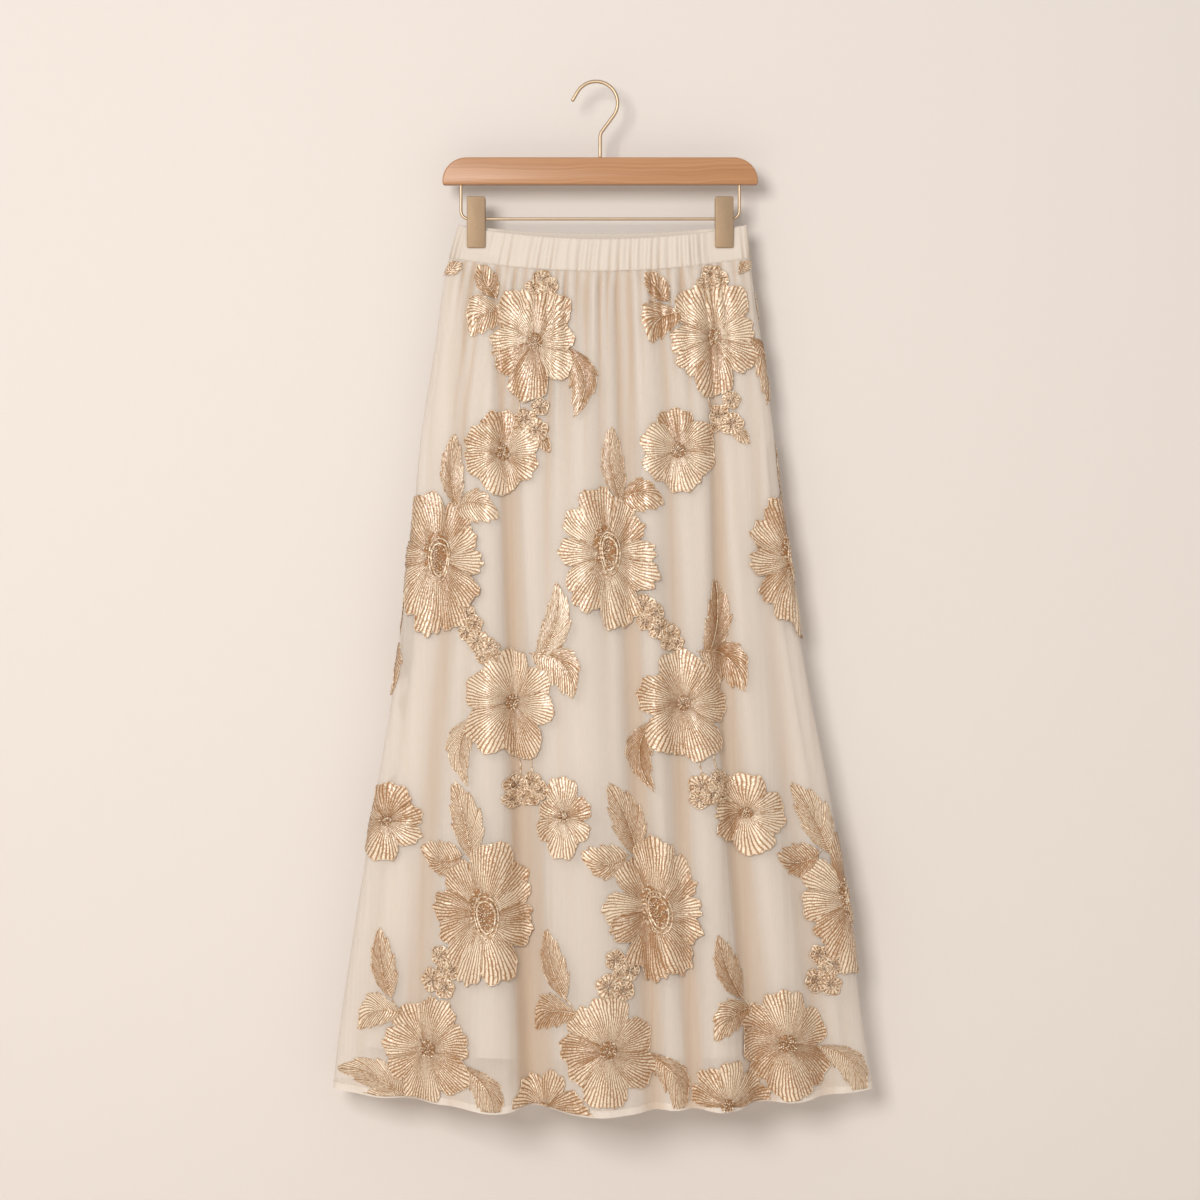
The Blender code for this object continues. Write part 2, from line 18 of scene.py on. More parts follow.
import bmesh
import bpy
import numpy as np
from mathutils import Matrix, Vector


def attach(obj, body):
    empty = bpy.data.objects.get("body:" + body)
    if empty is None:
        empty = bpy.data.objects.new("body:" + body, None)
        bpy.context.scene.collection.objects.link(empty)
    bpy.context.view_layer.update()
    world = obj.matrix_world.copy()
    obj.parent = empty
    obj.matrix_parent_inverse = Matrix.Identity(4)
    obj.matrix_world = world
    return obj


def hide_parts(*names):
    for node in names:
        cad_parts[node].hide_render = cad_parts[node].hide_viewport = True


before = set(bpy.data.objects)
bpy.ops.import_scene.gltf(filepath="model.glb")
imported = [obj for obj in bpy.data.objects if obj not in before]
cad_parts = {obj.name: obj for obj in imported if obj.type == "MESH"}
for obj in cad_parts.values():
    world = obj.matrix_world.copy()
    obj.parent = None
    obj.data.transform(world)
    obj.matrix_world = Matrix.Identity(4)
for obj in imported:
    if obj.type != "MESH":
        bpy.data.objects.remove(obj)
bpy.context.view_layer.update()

MM = 0.001
BODY = "root"
TURN = 2.0 * pi
GOLDEN_ANGLE = 2.39996
HANGER_X = 4.6
CLIP_OFFSET = 137.5
ROD_DEPTH = 150.7
log = logging.getLogger("maxi_skirt")

Array = np.ndarray
Color = tuple[float, float, float]
Material = bpy.types.Material
Palette = dict[str, Material]
Outputs = bpy.types.bpy_prop_collection
Piece = bpy.types.Object
Socket = bpy.types.NodeSocket
Tree = bpy.types.NodeTree


# ---- node trees
class Graph:
    """A node tree with short ways to add nodes to it."""

    def __init__(self, tree: Tree) -> None:
        """Take the tree to work on."""
        self.tree = tree

    def feed(self, value: object, socket: Socket) -> None:
        """Link an output socket to an input, or set the input to a plain value.

        Args:
            value: Output socket or plain value.
            socket: Input that takes it.
        """
        if isinstance(value, Socket):
            self.tree.links.new(value, socket)
        else:
            socket.default_value = value

    def add(self, kind: str, inputs: dict | None = None, **settings: object) -> Outputs:
        """Add a node, set its properties and feed its inputs.

        Args:
            kind: The node's type.
            inputs: Values or output sockets for its inputs, by name or index.
            **settings: Properties of the node itself.

        Returns:
            The node's outputs.
        """
        node = self.tree.nodes.new(kind)
        for name, value in settings.items():
            setattr(node, name, value)
        for key, value in (inputs or {}).items():
            self.feed(value, node.inputs[key])
        return node.outputs

    def calc(self, operation: str, *values: Socket | float) -> Socket:
        """Return the result of a Math node."""
        return self.add("ShaderNodeMath", dict(enumerate(values)), operation=operation)[0]

    def times(self, one: Socket, other: Socket | float) -> Socket:
        """Return a product."""
        return self.calc("MULTIPLY", one, other)

    def line(self, value: Socket, factor: Socket | float, plus: Socket | float) -> Socket:
        """Return a value times a factor, plus a number."""
        return self.calc("MULTIPLY_ADD", value, factor, plus)

    def clamp(self, value: Socket) -> Socket:
        """Return a value held between 0 and 1."""
        return self.add("ShaderNodeClamp", {0: value})[0]

    def span(self, value: Socket, start: float, end: float) -> Socket:
        """Return a value stretched so that it goes from 0 at start to 1 at end."""
        return self.add("ShaderNodeMapRange", {0: value, 1: start, 2: end})[0]

    def scaled(self, value: Socket, low: float, high: float) -> Socket:
        """Return a value of 0 to 1 stretched over low to high."""
        return self.add("ShaderNodeMapRange", {0: value, 3: low, 4: high})[0]

    def noise(self, vector: Socket, scale: Socket | float = 1.0, detail: float = 2.0, stretch: tuple = (),
              output: str = "Fac") -> Socket:
        """Return noise read at a vector, whose axes may be stretched first."""
        spread = self.add("ShaderNodeMapping", {"Vector": vector, "Scale": stretch})[0] if stretch else vector
        return self.add("ShaderNodeTexNoise", {"Vector": spread, "Scale": scale, "Detail": detail})[output]

    def blend(self, share: Socket, *colors: Socket | Color) -> Socket:
        """Return the mix of two colours, each a socket or three numbers."""
        low, high = (color if isinstance(color, Socket) else (*color, 1.0) for color in colors)
        return self.add("ShaderNodeMix", {"Factor": share, 6: low, 7: high}, data_type="RGBA")[2]


class Effect(Graph):
    """Shader node group over a Vector input, with named number inputs and outputs."""

    def __init__(self, name: str, **inputs: float) -> None:
        """Start the group.

        Args:
            name: Name of the group.
            **inputs: Default of each number input.
        """
        super().__init__(bpy.data.node_groups.new(name, "ShaderNodeTree"))
        sockets = self.tree.interface
        sockets.new_socket("Vector", in_out="INPUT", socket_type="NodeSocketVector")
        for label, default in inputs.items():
            sockets.new_socket(label, in_out="INPUT", socket_type="NodeSocketFloat").default_value = default
        self.given = self.tree.nodes.new("NodeGroupInput").outputs

    def give(self, **results: Socket) -> Tree:
        """Make the group's outputs.

        Args:
            **results: Value of each named output.

        Returns:
            The finished group.
        """
        for label in results:
            self.tree.interface.new_socket(label, in_out="OUTPUT", socket_type="NodeSocketFloat")
        leave = self.tree.nodes.new("NodeGroupOutput")
        for label, value in results.items():
            self.feed(value, leave.inputs[label])
        return self.tree


class Effects:
    """Shader node groups that finishes share, each built once."""

    @cached_property
    def weave(self) -> Tree:
        """Plain weave over a UV map in metres, with uneven yarns.

        Returns:
            Group with outputs Shade (0 to 1) and Height.
        """
        group = Effect("cloth_weave", Pitch=0.0006, Slub=0.5)
        place = group.add("ShaderNodeSeparateXYZ", {0: group.given["Vector"]})
        turns = group.calc("DIVIDE", TURN, group.given["Pitch"])
        warp, weft = (group.calc("SINE", group.times(place[axis], turns)) for axis in (0, 1))
        yarn = group.line(group.times(warp, weft), 0.5, 0.5)
        slub = group.noise(group.given["Vector"], stretch=(900.0, 60.0, 1.0))
        uneven = group.times(slub, group.given["Slub"])
        return group.give(Shade=group.calc("ADD", group.times(yarn, 0.5), uneven),
                          Height=group.calc("ADD", yarn, uneven))

    @cached_property
    def drift(self) -> Tree:
        """Slow cloudy variation for colour and gloss.

        Returns:
            Group with the output Value (0 to 1).
        """
        group = Effect("slow_drift", Scale=10.0, Contrast=1.0)
        centred = group.calc("SUBTRACT", group.noise(group.given["Vector"], group.given["Scale"], 3.0), 0.5)
        value = group.line(centred, group.given["Contrast"], 0.5)
        return group.give(Value=group.clamp(value))

    @cached_property
    def thread(self) -> Tree:
        """Chain-stitched thread laid side by side: U counts rows, V runs along them in millimetres.

        Returns:
            Group with outputs Line (0 in the gaps, 1 on the rows), Link, Glint and Height.
        """
        group = Effect("laid_thread", Sway=0.9, Pitch=2.9)
        vector = group.given["Vector"]
        place = group.add("ShaderNodeSeparateXYZ", {0: vector})
        drift = group.calc("SUBTRACT", group.noise(vector, detail=1.0, stretch=(0.30, 0.07, 1.0)), 0.5)
        moved = group.line(drift, group.given["Sway"], place[0])
        wave = group.calc("COSINE", group.times(moved, TURN))
        line = group.span(wave, 0.82, -0.1)
        turns = group.calc("DIVIDE", TURN, group.given["Pitch"])
        slant = group.line(place[1], turns, group.times(wave, 1.7))
        link = group.line(group.calc("SINE", slant), 0.5, 0.5)
        glint = group.span(group.noise(vector, detail=3.0, stretch=(1.15, 0.36, 1.0)), 0.36, 0.66)
        return group.give(Line=line, Link=link, Glint=glint,
                          Height=group.line(link, 0.35, line))

    @cached_property
    def grain(self) -> Tree:
        """Long fibres along X with slow wandering rings.

        Returns:
            Group with outputs Rings, Fibre and Height.
        """
        group = Effect("long_grain", Fineness=1.0)
        vector = group.given["Vector"]
        offset = group.add("ShaderNodeVectorMath", {
            0: group.noise(vector, 9.0, output="Color"), 1: (0.0, 0.010, 0.016)}, operation="MULTIPLY")[0]
        warped = group.add("ShaderNodeVectorMath", {0: vector, 1: offset}, operation="ADD")[0]
        rings = group.noise(warped, detail=3.0, stretch=(1.6, 90.0, 330.0))
        fibre = group.noise(warped, group.given["Fineness"], stretch=(26.0, 900.0, 1500.0))
        return group.give(Rings=rings, Fibre=fibre, Height=fibre)


# ---- finishes
class Look(Graph):
    """A Principled material while it is built."""

    def __init__(self, name: str, roughness: float, effects: Effects) -> None:
        """Start the material.

        Args:
            name: Name of the material.
            roughness: Roughness on the shader's own socket.
            effects: Shared node groups.
        """
        self.material = bpy.data.materials.new(name)
        self.material.use_nodes = True
        super().__init__(self.material.node_tree)
        self.effects = effects
        self.shader = self.tree.nodes["Principled BSDF"].inputs
        self.put({"Roughness": roughness})
        self.spot = self.add("ShaderNodeTexCoord")

    def put(self, values: dict) -> None:
        """Feed values to the shader's inputs by name."""
        for label, value in values.items():
            self.feed(value, self.shader[label])

    def use(self, effect: str, place: str = "Object", **inputs: float) -> Outputs:
        """Place a shared node group with its own values and return its outputs."""
        inputs["Vector"] = self.spot[place]
        return self.add("ShaderNodeGroup", inputs, node_tree=getattr(self.effects, effect))

    def mark(self, name: str) -> Socket:
        """Return a number that the piece carries on its points."""
        return self.add("ShaderNodeAttribute", attribute_name=name)["Fac"]

    def bump(self, height: Socket, strength: float, step: float) -> None:
        """Feed a height, whose full step is given in metres, into the normal."""
        inputs = {"Height": height, "Strength": strength, "Distance": step}
        self.put({"Normal": self.add("ShaderNodeBump", inputs)[0]})


@dataclass(frozen=True)
class Finish:
    """What every finish has: its name, two colours and its roughness."""

    name: str
    light: Color
    dark: Color
    roughness: float

    def material(self, effects: Effects) -> Material:
        """Build the finish out of the shared effects."""
        self.dress(look := Look(self.name, self.roughness, effects))
        return look.material

    def dress(self, look: Look) -> None:
        """Give a material its looks; each kind of finish has its own."""
        raise NotImplementedError

    def clouded(self, look: Look, scale: float) -> None:
        """Colour a material with slow clouds of both colours."""
        cloud = look.use("drift", Scale=scale)["Value"]
        look.put({"Base Color": look.blend(cloud, self.dark, self.light)})


@dataclass(frozen=True)
class ClothFinish(Finish):
    """Woven cloth, sheer or opaque, over a UV map in metres."""

    sheen: float = 0.25
    pitch: float = 0.0007
    relief: float = 0.12
    opacity: tuple[float, float] | None = None
    # The folded colour is painted shade deep in folds, and the share of streaks adds fine painted shade as of
    # small creases.
    folded: Color | None = None
    streak: float = 0.0

    def dress(self, look: Look) -> None:
        """Give a material the weave, painted shade in its folds and crinkles and, on sheer cloth, its
        density.

        Args:
            look: The material.
        """
        look.put({"Sheen Weight": self.sheen, "Sheen Roughness": 0.4})
        weave = look.use("weave", "UV", Pitch=self.pitch)
        cloud = look.use("drift", Scale=7.0)["Value"]
        shade = look.line(cloud, 0.6, look.times(weave["Shade"], 0.4))
        color = look.blend(shade, self.dark, self.light)
        # Painted shade: how deep in a fold a point lies darkens it towards the folded colour; on sheer cloth
        # it also makes the cloth denser, as doubled layers would.
        fold_shade = look.mark("fold_shade")
        if self.streak:
            # Fine painted streaks of shade, as of small creases.
            noise = look.noise(look.spot["UV"], detail=3.0, stretch=(150.0, 2.6, 1.0))
            crinkle_shade = look.span(noise, 0.44, 0.72)
            fold_shade = look.clamp(look.line(crinkle_shade, self.streak, fold_shade))
        if self.folded:
            color = look.blend(fold_shade, color, self.folded)
        look.put({"Base Color": color})
        look.bump(weave["Height"], self.relief, 0.0002)
        if self.opacity:
            rim = look.add("ShaderNodeLayerWeight", {"Blend": 0.35})["Facing"]
            dense = look.scaled(look.calc("MAXIMUM", rim, fold_shade), *self.opacity)
            thin = look.times(dense, look.scaled(weave["Shade"], 0.92, 1.06))
            look.put({"Alpha": look.clamp(thin)})


@dataclass(frozen=True)
class ThreadFinish(Finish):
    """Metallic embroidery thread: laid rows read the UV map, cords and knots their place."""

    laid: bool = False

    def dress(self, look: Look) -> None:
        """Give a material the thread's rows, links and glints, with painted shade in the gaps between rows
        and painted highlights on the links and glints.

        Args:
            look: The material.
        """
        if self.laid:
            thread = look.use("thread", "UV")
            # Paleness of the thread, with painted shade and highlights in it.
            tint = look.mark("tint")
            glint = thread["Glint"]
            # Glints and chain links lighten the colour as painted highlights; the gaps between rows take the
            # dark colour as painted shade.
            lit = look.times(look.scaled(glint, 0.34, 1.34), look.scaled(thread["Link"], 0.72, 1.05))
            body = look.times(thread["Line"], lit)
            gain = look.line(tint, 0.95, 0.62)
            share = look.line(body, gain, look.line(tint, 0.3, -0.15))
            look.bump(thread["Height"], 0.7, 0.0007)
        else:
            # Noise glints paint highlight specks into the colour of cords and knots.
            noise = look.noise(look.spot["Object"], 380.0)
            share = glint = look.span(noise, 0.36, 0.64)
            look.bump(noise, 0.8, 0.0006)
        look.put({"Base Color": look.blend(look.clamp(share), self.dark, self.light),
                  "Metallic": look.scaled(glint, 0.2, 0.42), "Coat Roughness": 0.24,
                  "Coat Weight": look.scaled(glint, 0.0, 1.0),
                  "Roughness": look.scaled(glint, self.roughness + 0.12, self.roughness - 0.10)})


@dataclass(frozen=True)
class WoodFinish(Finish):
    """Lacquered wood with fine straight grain along X."""

    def dress(self, look: Look) -> None:
        """Give a material the grain and a thin lacquer.

        Args:
            look: The material.
        """
        grain = look.use("grain")
        rings = look.times(look.scaled(grain["Rings"], -0.7, 1.6), 0.65)
        share = look.clamp(look.line(grain["Fibre"], 0.35, rings))
        look.put({"Coat Roughness": 0.25, "Coat Weight": 0.25,
                  "Base Color": look.blend(share, self.dark, self.light),
                  "Roughness": look.scaled(grain["Fibre"], 0.36, 0.5)})
        look.bump(grain["Height"], 0.12, 0.0003)


@dataclass(frozen=True)
class MetalFinish(Finish):
    """Plated metal, drawn or finely blasted."""

    speckle: float
    relief: float
    metallic: float = 1.0

    def dress(self, look: Look) -> None:
        """Give a material the plating's clouds and its fine speckle.

        Args:
            look: The material.
        """
        self.clouded(look, 60.0)
        fine = look.use("drift", Scale=self.speckle, Contrast=1.6)["Value"]
        look.put({"Metallic": self.metallic,
                  "Roughness": look.scaled(fine, self.roughness - 0.07, self.roughness + 0.09)})
        look.bump(fine, self.relief, 0.0002)


@dataclass(frozen=True)
class PlasterFinish(Finish):
    """Matte painted wall or floor; a one-sided wall is left out of views from behind and of shadows."""

    one_sided: bool = False

    def dress(self, look: Look) -> None:
        """Give a material the paint's faint clouds and grit.

        Args:
            look: The material.
        """
        self.clouded(look, 1.3)
        look.bump(look.use("drift", Scale=420.0)["Value"], 0.05, 0.0004)
        if self.one_sided:
            path = look.add("ShaderNodeLightPath")
            behind = look.add("ShaderNodeNewGeometry")["Backfacing"]
            hidden = look.calc("MAXIMUM", behind, path["Is Shadow Ray"])
            hidden = look.calc("MAXIMUM", hidden, look.calc("LESS_THAN", path["Ray Length"], 0.15))
            look.put({"Alpha": look.calc("SUBTRACT", 1.0, hidden)})


FINISHES: dict[str, Finish] = {
    # The folded colours are painted shade in folds, pleats and ruches; on the sheer also partly its denser
    # doubled layers.
    "sheer": ClothFinish("sheer_chiffon", (0.94, 0.86, 0.775), (0.89, 0.80, 0.71), 0.72,
                         opacity=(0.56, 0.96), folded=(0.60, 0.46, 0.34), streak=0.28),
    "sheer_hem": ClothFinish("sheer_doubled", (0.93, 0.85, 0.76), (0.89, 0.80, 0.70), 0.72,
                             opacity=(0.86, 0.99), folded=(0.66, 0.52, 0.40), streak=0.2),
    "lining": ClothFinish("lining_satin", (0.93, 0.855, 0.78), (0.90, 0.815, 0.73), 0.50,
                          sheen=0.1, relief=0.05, folded=(0.68, 0.53, 0.40)),
    "band": ClothFinish("band_cloth", (0.80, 0.72, 0.635), (0.75, 0.665, 0.575), 0.75,
                        sheen=0.2, pitch=0.0006, relief=0.18, folded=(0.48, 0.36, 0.265)),
    # Laid thread: the dark colour paints shade in the gaps between rows, at petal edges and in folds, as well
    # as darker thread tone.
    "laid": ThreadFinish("gold_laid_thread", (1.0, 0.85, 0.655), (0.42, 0.205, 0.08), 0.46, laid=True),
    # Cords and knots: noise glints mix the two colours as painted highlights.
    "cord": ThreadFinish("gold_cord", (1.0, 0.86, 0.67), (0.50, 0.285, 0.13), 0.40),
    "knot": ThreadFinish("gold_knots", (1.0, 0.86, 0.67), (0.40, 0.21, 0.085), 0.36),
    "sewing": ClothFinish("sewing_thread", (0.86, 0.76, 0.62), (0.74, 0.62, 0.47), 0.7, pitch=0.0004),
    "wood": WoodFinish("bar_wood", (0.60, 0.305, 0.14), (0.40, 0.18, 0.07), 0.42),
    "wire": MetalFinish("hook_plate", (0.70, 0.54, 0.38), (0.60, 0.45, 0.30), 0.42, 400.0, 0.02),
    "clip": MetalFinish("clip_plate", (0.44, 0.315, 0.20), (0.35, 0.24, 0.145), 0.55, 700.0, 0.25, 0.55),
    "wall": PlasterFinish("wall_paint", (0.84, 0.785, 0.74), (0.83, 0.775, 0.73), 0.9, one_sided=True),
    "floor": PlasterFinish("floor_paint", (0.84, 0.78, 0.73), (0.82, 0.76, 0.71), 0.9),
}


def make_palette() -> Palette:
    """Return every finish as a material, by its short name."""
    effects = Effects()
    return {label: finish.material(effects) for label, finish in FINISHES.items()}


# ---- sides and mesh helpers
class Side(Enum):
    """The two panels that go round the skirt, by the direction they face along Y."""

    FRONT = -1
    BACK = 1

    @property
    def label(self) -> str:
        """Name of the panel as part of a piece's name."""
        return self.name.lower()


def finish_piece(item: Piece, slot: str, *nodes: str) -> None:
    """Ride a finished piece on the body and hide the CAD nodes it stands for.

    Args:
        item: Finished piece.
        slot: Not used.
        *nodes: CAD nodes that it replaces.
    """
    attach(item, BODY)
    if nodes:
        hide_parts(*nodes)
    log.info("%s: %d triangles", item.name, sum(len(face.vertices) - 2 for face in item.data.polygons))


def link(name: str, data: bpy.types.ID) -> Piece:
    """Link a new object that holds a mesh or other data."""
    bpy.context.scene.collection.objects.link(item := bpy.data.objects.new(name, data))
    return item


@contextmanager
def editing(mesh: bpy.types.Mesh) -> Iterator[bmesh.types.BMesh]:
    """Open a mesh for editing and write it back at the end.

    Args:
        mesh: The mesh.

    Yields:
        What is edited.
    """
    shape = bmesh.new()
    shape.from_mesh(mesh)
    yield shape
    shape.to_mesh(mesh)
    shape.free()


def mesh_object(name: str, points: Array, faces: list, material: Material, smooth: bool = True) -> Piece:
    """Make a mesh object from points in metres.

    Args:
        name: Name of the piece.
        points: Points, one row each.
        faces: Corner indices of each face.
        material: Its material.
        smooth: Whether it is shaded smooth.

    Returns:
        The linked object.
    """
    mesh = bpy.data.meshes.new(name)
    mesh.from_pydata(points.tolist(), [], faces)
    if smooth:
        mesh.shade_smooth()
    mesh.materials.append(material)
    return link(name, mesh)


def grid_faces(rows: int, columns: int, start: int = 0, flip: bool = False) -> Array:
    """Corner indices of a grid's quads.

    Args:
        rows: Rows of points.
        columns: Columns of points.
        start: Index of the grid's first point.
        flip: Whether to turn the faces over.

    Returns:
        Array of quads.
    """
    corner = start + np.arange((rows - 1) * columns).reshape(rows - 1, columns)[:, :-1].ravel()
    quads = np.stack([corner, corner + columns, corner + columns + 1, corner + 1], axis=1)
    return quads[:, ::-1] if flip else quads


def write_uv(mesh: bpy.types.Mesh, per_point: Array) -> None:
    """Write a UV map from one UV for each point of a mesh."""
    corners = per_point[[loop.vertex_index for loop in mesh.loops]]
    mesh.uv_layers.new(name="UVMap").data.foreach_set("uv", corners.astype(np.float32).ravel())


def write_value(mesh: bpy.types.Mesh, name: str, values: Array) -> None:
    """Write a number for each point of a mesh."""
    mesh.attributes.new(name, "FLOAT", "POINT").data.foreach_set("value", values.astype(np.float32))


def grid_sheet(name: str, points: Array, uv: Array, fold_shades: Array, material: Material, side: Side) -> Piece:
    """Make a sheet from a grid of points in millimetres.

    Args:
        name: Its name, with braces for the panel's label.
        points: Its points.
        uv: U and V of each point in metres.
        fold_shades: How deep in a fold each point lies, from 0 to 1, which paints shade into the folds.
        material: Its material.
        side: Its panel.

    Returns:
        The linked object.
    """
    faces = grid_faces(*points.shape[:2], flip=side is Side.BACK).tolist()
    item = mesh_object(name.format(side.label), points.reshape(-1, 3) * MM, faces, material)
    write_uv(item.data, uv.reshape(-1, 2))
    write_value(item.data, "fold_shade", fold_shades.ravel())
    return item


# ---- geometry node trees
class LaidTree(Graph):
    """Geometry Nodes that lay a shape along a mesh's edges or on its points."""

    def __init__(self, name: str, **inputs: float) -> None:
        """Start the tree.

        Args:
            name: Name of the tree.
            **inputs: Default of each number input; counts and seeds are whole.
        """
        super().__init__(bpy.data.node_groups.new(name, "GeometryNodeTree"))
        sockets = self.tree.interface
        sockets.new_socket("Geometry", in_out="INPUT", socket_type="NodeSocketGeometry")
        for label, default in inputs.items():
            kind = "NodeSocketInt" if isinstance(default, int) else "NodeSocketFloat"
            sockets.new_socket(label, in_out="INPUT", socket_type=kind).default_value = default
        sockets.new_socket("Material", in_out="INPUT", socket_type="NodeSocketMaterial")
        sockets.new_socket("Geometry", in_out="OUTPUT", socket_type="NodeSocketGeometry")
        self.given = self.tree.nodes.new("NodeGroupInput").outputs

    def named(self, name: str) -> Socket:
        """Return a number that the mesh carries on its points."""
        return self.add("GeometryNodeInputNamedAttribute", {"Name": name}, data_type="FLOAT")["Attribute"]

    def paths(self) -> Socket:
        """Return the mesh's edges as curves."""
        return self.add("GeometryNodeMeshToCurve", {"Mesh": self.given["Geometry"]})[0]

    def strew(self, points: Socket, turn: Socket, size: Socket) -> LaidTree:
        """Put a small round body of radius 1 on each point and finish the tree.

        Args:
            points: The places.
            turn: Turn of each body.
            size: Size of each body.

        Returns:
            The finished tree.
        """
        bead = self.add("GeometryNodeMeshUVSphere", {"Segments": 6, "Rings": 4, "Radius": 1.0})["Mesh"]
        inputs = {"Points": points, "Instance": bead, "Rotation": turn, "Scale": size}
        return self.close(self.add("GeometryNodeInstanceOnPoints", inputs)[0])

    def close(self, geometry: Socket) -> LaidTree:
        """Realize the shape, smooth it and set its material.

        Args:
            geometry: The shape.

        Returns:
            The finished tree.
        """
        real = self.add("GeometryNodeRealizeInstances", {0: geometry})[0]
        smooth = self.add("GeometryNodeSetShadeSmooth", {"Geometry": real})[0]
        inputs = {"Geometry": smooth, "Material": self.given["Material"]}
        dressed = self.add("GeometryNodeSetMaterial", inputs)
        self.feed(dressed[0], self.tree.nodes.new("NodeGroupOutput").inputs[0])
        return self

    def apply(self, item: Piece, **values: object) -> None:
        """Run the tree on a piece and keep the result as plain mesh.

        Args:
            item: Object that holds the paths or points.
            **values: Value of each named input.
        """
        modifier = item.modifiers.new("Nodes", "NODES")
        modifier.node_group = self.tree
        for socket in self.tree.interface.items_tree:
            if socket.in_out == "INPUT" and socket.name in values:
                modifier[socket.identifier] = values[socket.name]
        deps = bpy.context.evaluated_depsgraph_get()
        mesh = bpy.data.meshes.new_from_object(item.evaluated_get(deps))
        item.modifiers.clear()
        item.data = mesh


class Trees:
    """The geometry trees that lay cords, knots and stitches, each built once."""

    @cached_property
    def cords(self) -> LaidTree:
        """Round cords along a mesh's edges, each as thick as its points' radius.

        Returns:
            The tree.
        """
        laid = LaidTree("laid_cords", Sides=5)
        inputs = {"Curve": laid.paths(), "Radius": laid.named("radius")}
        sized = laid.add("GeometryNodeSetCurveRadius", inputs)[0]
        ring = laid.add("GeometryNodeCurvePrimitiveCircle", {"Resolution": laid.given["Sides"],
                                                             "Radius": 1.0})[0]
        tube = laid.add("GeometryNodeCurveToMesh", {"Curve": sized, "Profile Curve": ring, "Fill Caps": True})
        node = laid.tree.nodes[-1]
        if "Scale" in node.inputs:
            laid.feed(laid.add("GeometryNodeInputRadius")[0], node.inputs["Scale"])
        return laid.close(tube[0])

    @cached_property
    def knots(self) -> LaidTree:
        """Small round knots on a mesh's points, each as large as its size.

        Returns:
            The tree.
        """
        laid = LaidTree("sewn_knots", Seed=4)
        points = laid.add("GeometryNodeMeshToPoints", {"Mesh": laid.given["Geometry"]})[0]
        turn = laid.add("FunctionNodeRandomValue", {0: (0.0, 0.0, 0.0), 1: (6.28, 6.28, 6.28),
                                                    "Seed": laid.given["Seed"]}, data_type="FLOAT_VECTOR")[0]
        return laid.strew(points, turn, laid.named("size"))

    @cached_property
    def stitches(self) -> LaidTree:
        """Short stitches at an even pitch along a mesh's edges.

        Returns:
            The tree.
        """
        laid = LaidTree("sewn_stitches", Pitch=0.003, Length=0.002, Thickness=0.00035)
        given = laid.given
        inputs = {"Curve": laid.paths(), "Length": given["Pitch"]}
        even = laid.add("GeometryNodeResampleCurve", inputs, mode="LENGTH")[0]
        along = laid.add("GeometryNodeInputTangent")[0]
        turn = laid.add("FunctionNodeAlignRotationToVector", {"Vector": along}, axis="Z")[0]
        size = laid.add("ShaderNodeCombineXYZ", {0: given["Thickness"], 1: given["Thickness"],
                                                 2: laid.times(given["Length"], 0.5)})[0]
        return laid.strew(even, turn, size)


def path_object(name: str, paths: list[Array], **values: list[float]) -> Piece:
    """Make a mesh of loose polylines in metres.

    Args:
        name: Name of the piece.
        paths: Points of each polyline.
        **values: Number of each path for each point attribute.

    Returns:
        The linked object.
    """
    counts = [len(path) for path in paths]
    starts = np.concatenate([[0], np.cumsum(counts)])[:-1]
    edges = [(int(start) + step, int(start) + step + 1)
             for start, count in zip(starts, counts) for step in range(count - 1)]
    mesh = bpy.data.meshes.new(name)
    mesh.from_pydata(np.concatenate(paths).tolist(), edges, [])
    for label, numbers in values.items():
        write_value(mesh, label, np.repeat(np.array(numbers), counts))
    return link(name, mesh)


# ---- the cloth's form
class Section(NamedTuple):
    """Plan section of the cloth at one depth below the hook, in millimetres."""

    depth: float
    left: float
    right: float
    side_y: float
    end_radius: float
    front: float
    back: float


class Fold(NamedTuple):
    """Ridge (out above 0) or valley: its places and heights at the seam, half way and at the hem."""

    x: tuple[float, float, float]
    out: tuple[float, float, float]
    left: float
    right: float


class Crease(NamedTuple):
    """Short narrow pleat that runs down from the seam and fades out."""

    x_top: float
    x_end: float
    drop: float
    out: float
    width: float


class Edges(NamedTuple):
    """How far the middle of each edge of a panel hangs below its ends."""

    band_top: float
    seam: float
    skirt_hem: float
    lining_hem: float


def table(kind: type, *rows: tuple) -> tuple:
    """Return a table's rows as objects of one kind."""
    return tuple(kind(*row) for row in rows)


SECTIONS: tuple[Section, ...] = table(
    Section,
    (158.5, -153.2, 167.6, 0, 3.4, 8, 6.5), (194, -163.2, 170.9, 0, 4, 8.5, 7),
    (292.8, -178.7, 184.3, -1, 6.5, 14, 9), (393.8, -194.3, 197.6, -2, 8.5, 20, 11),
    (477.1, -202, 206.5, -3, 9.5, 25, 13), (570.3, -212, 218.7, -4, 10.5, 31, 15),
    (684.6, -226.6, 238.4, -5, 11.5, 37, 17), (781.2, -242.8, 257.6, -6, 12.2, 42, 19),
    (873.3, -257.5, 272, -7, 12.8, 46, 20), (965.5, -272, 285.3, -8, 13.3, 50, 21),
    (1058.7, -285.3, 297.5, -8.5, 13.8, 53, 22), (1112.6, -290.8, 306.4, -9, 14, 54, 22))
LININGS: tuple[Section, ...] = table(
    Section, (194, 1.8, -1.8, 0, 2, 5.2, 3.6), (230, 3, -3, 0, 2.4, 5.2, 3),
    (300, 6, -6, 0, 3.2, 7, 2.8), (570, 14, -14, 0, 7, 16, 4),
    (1063, 26, -26, 0, 11, 25, 4))
EDGES: dict[Side, Edges] = {Side.FRONT: Edges(16.6, 15.5, 18, 15), Side.BACK: Edges(8.6, 8, 8, 7)}
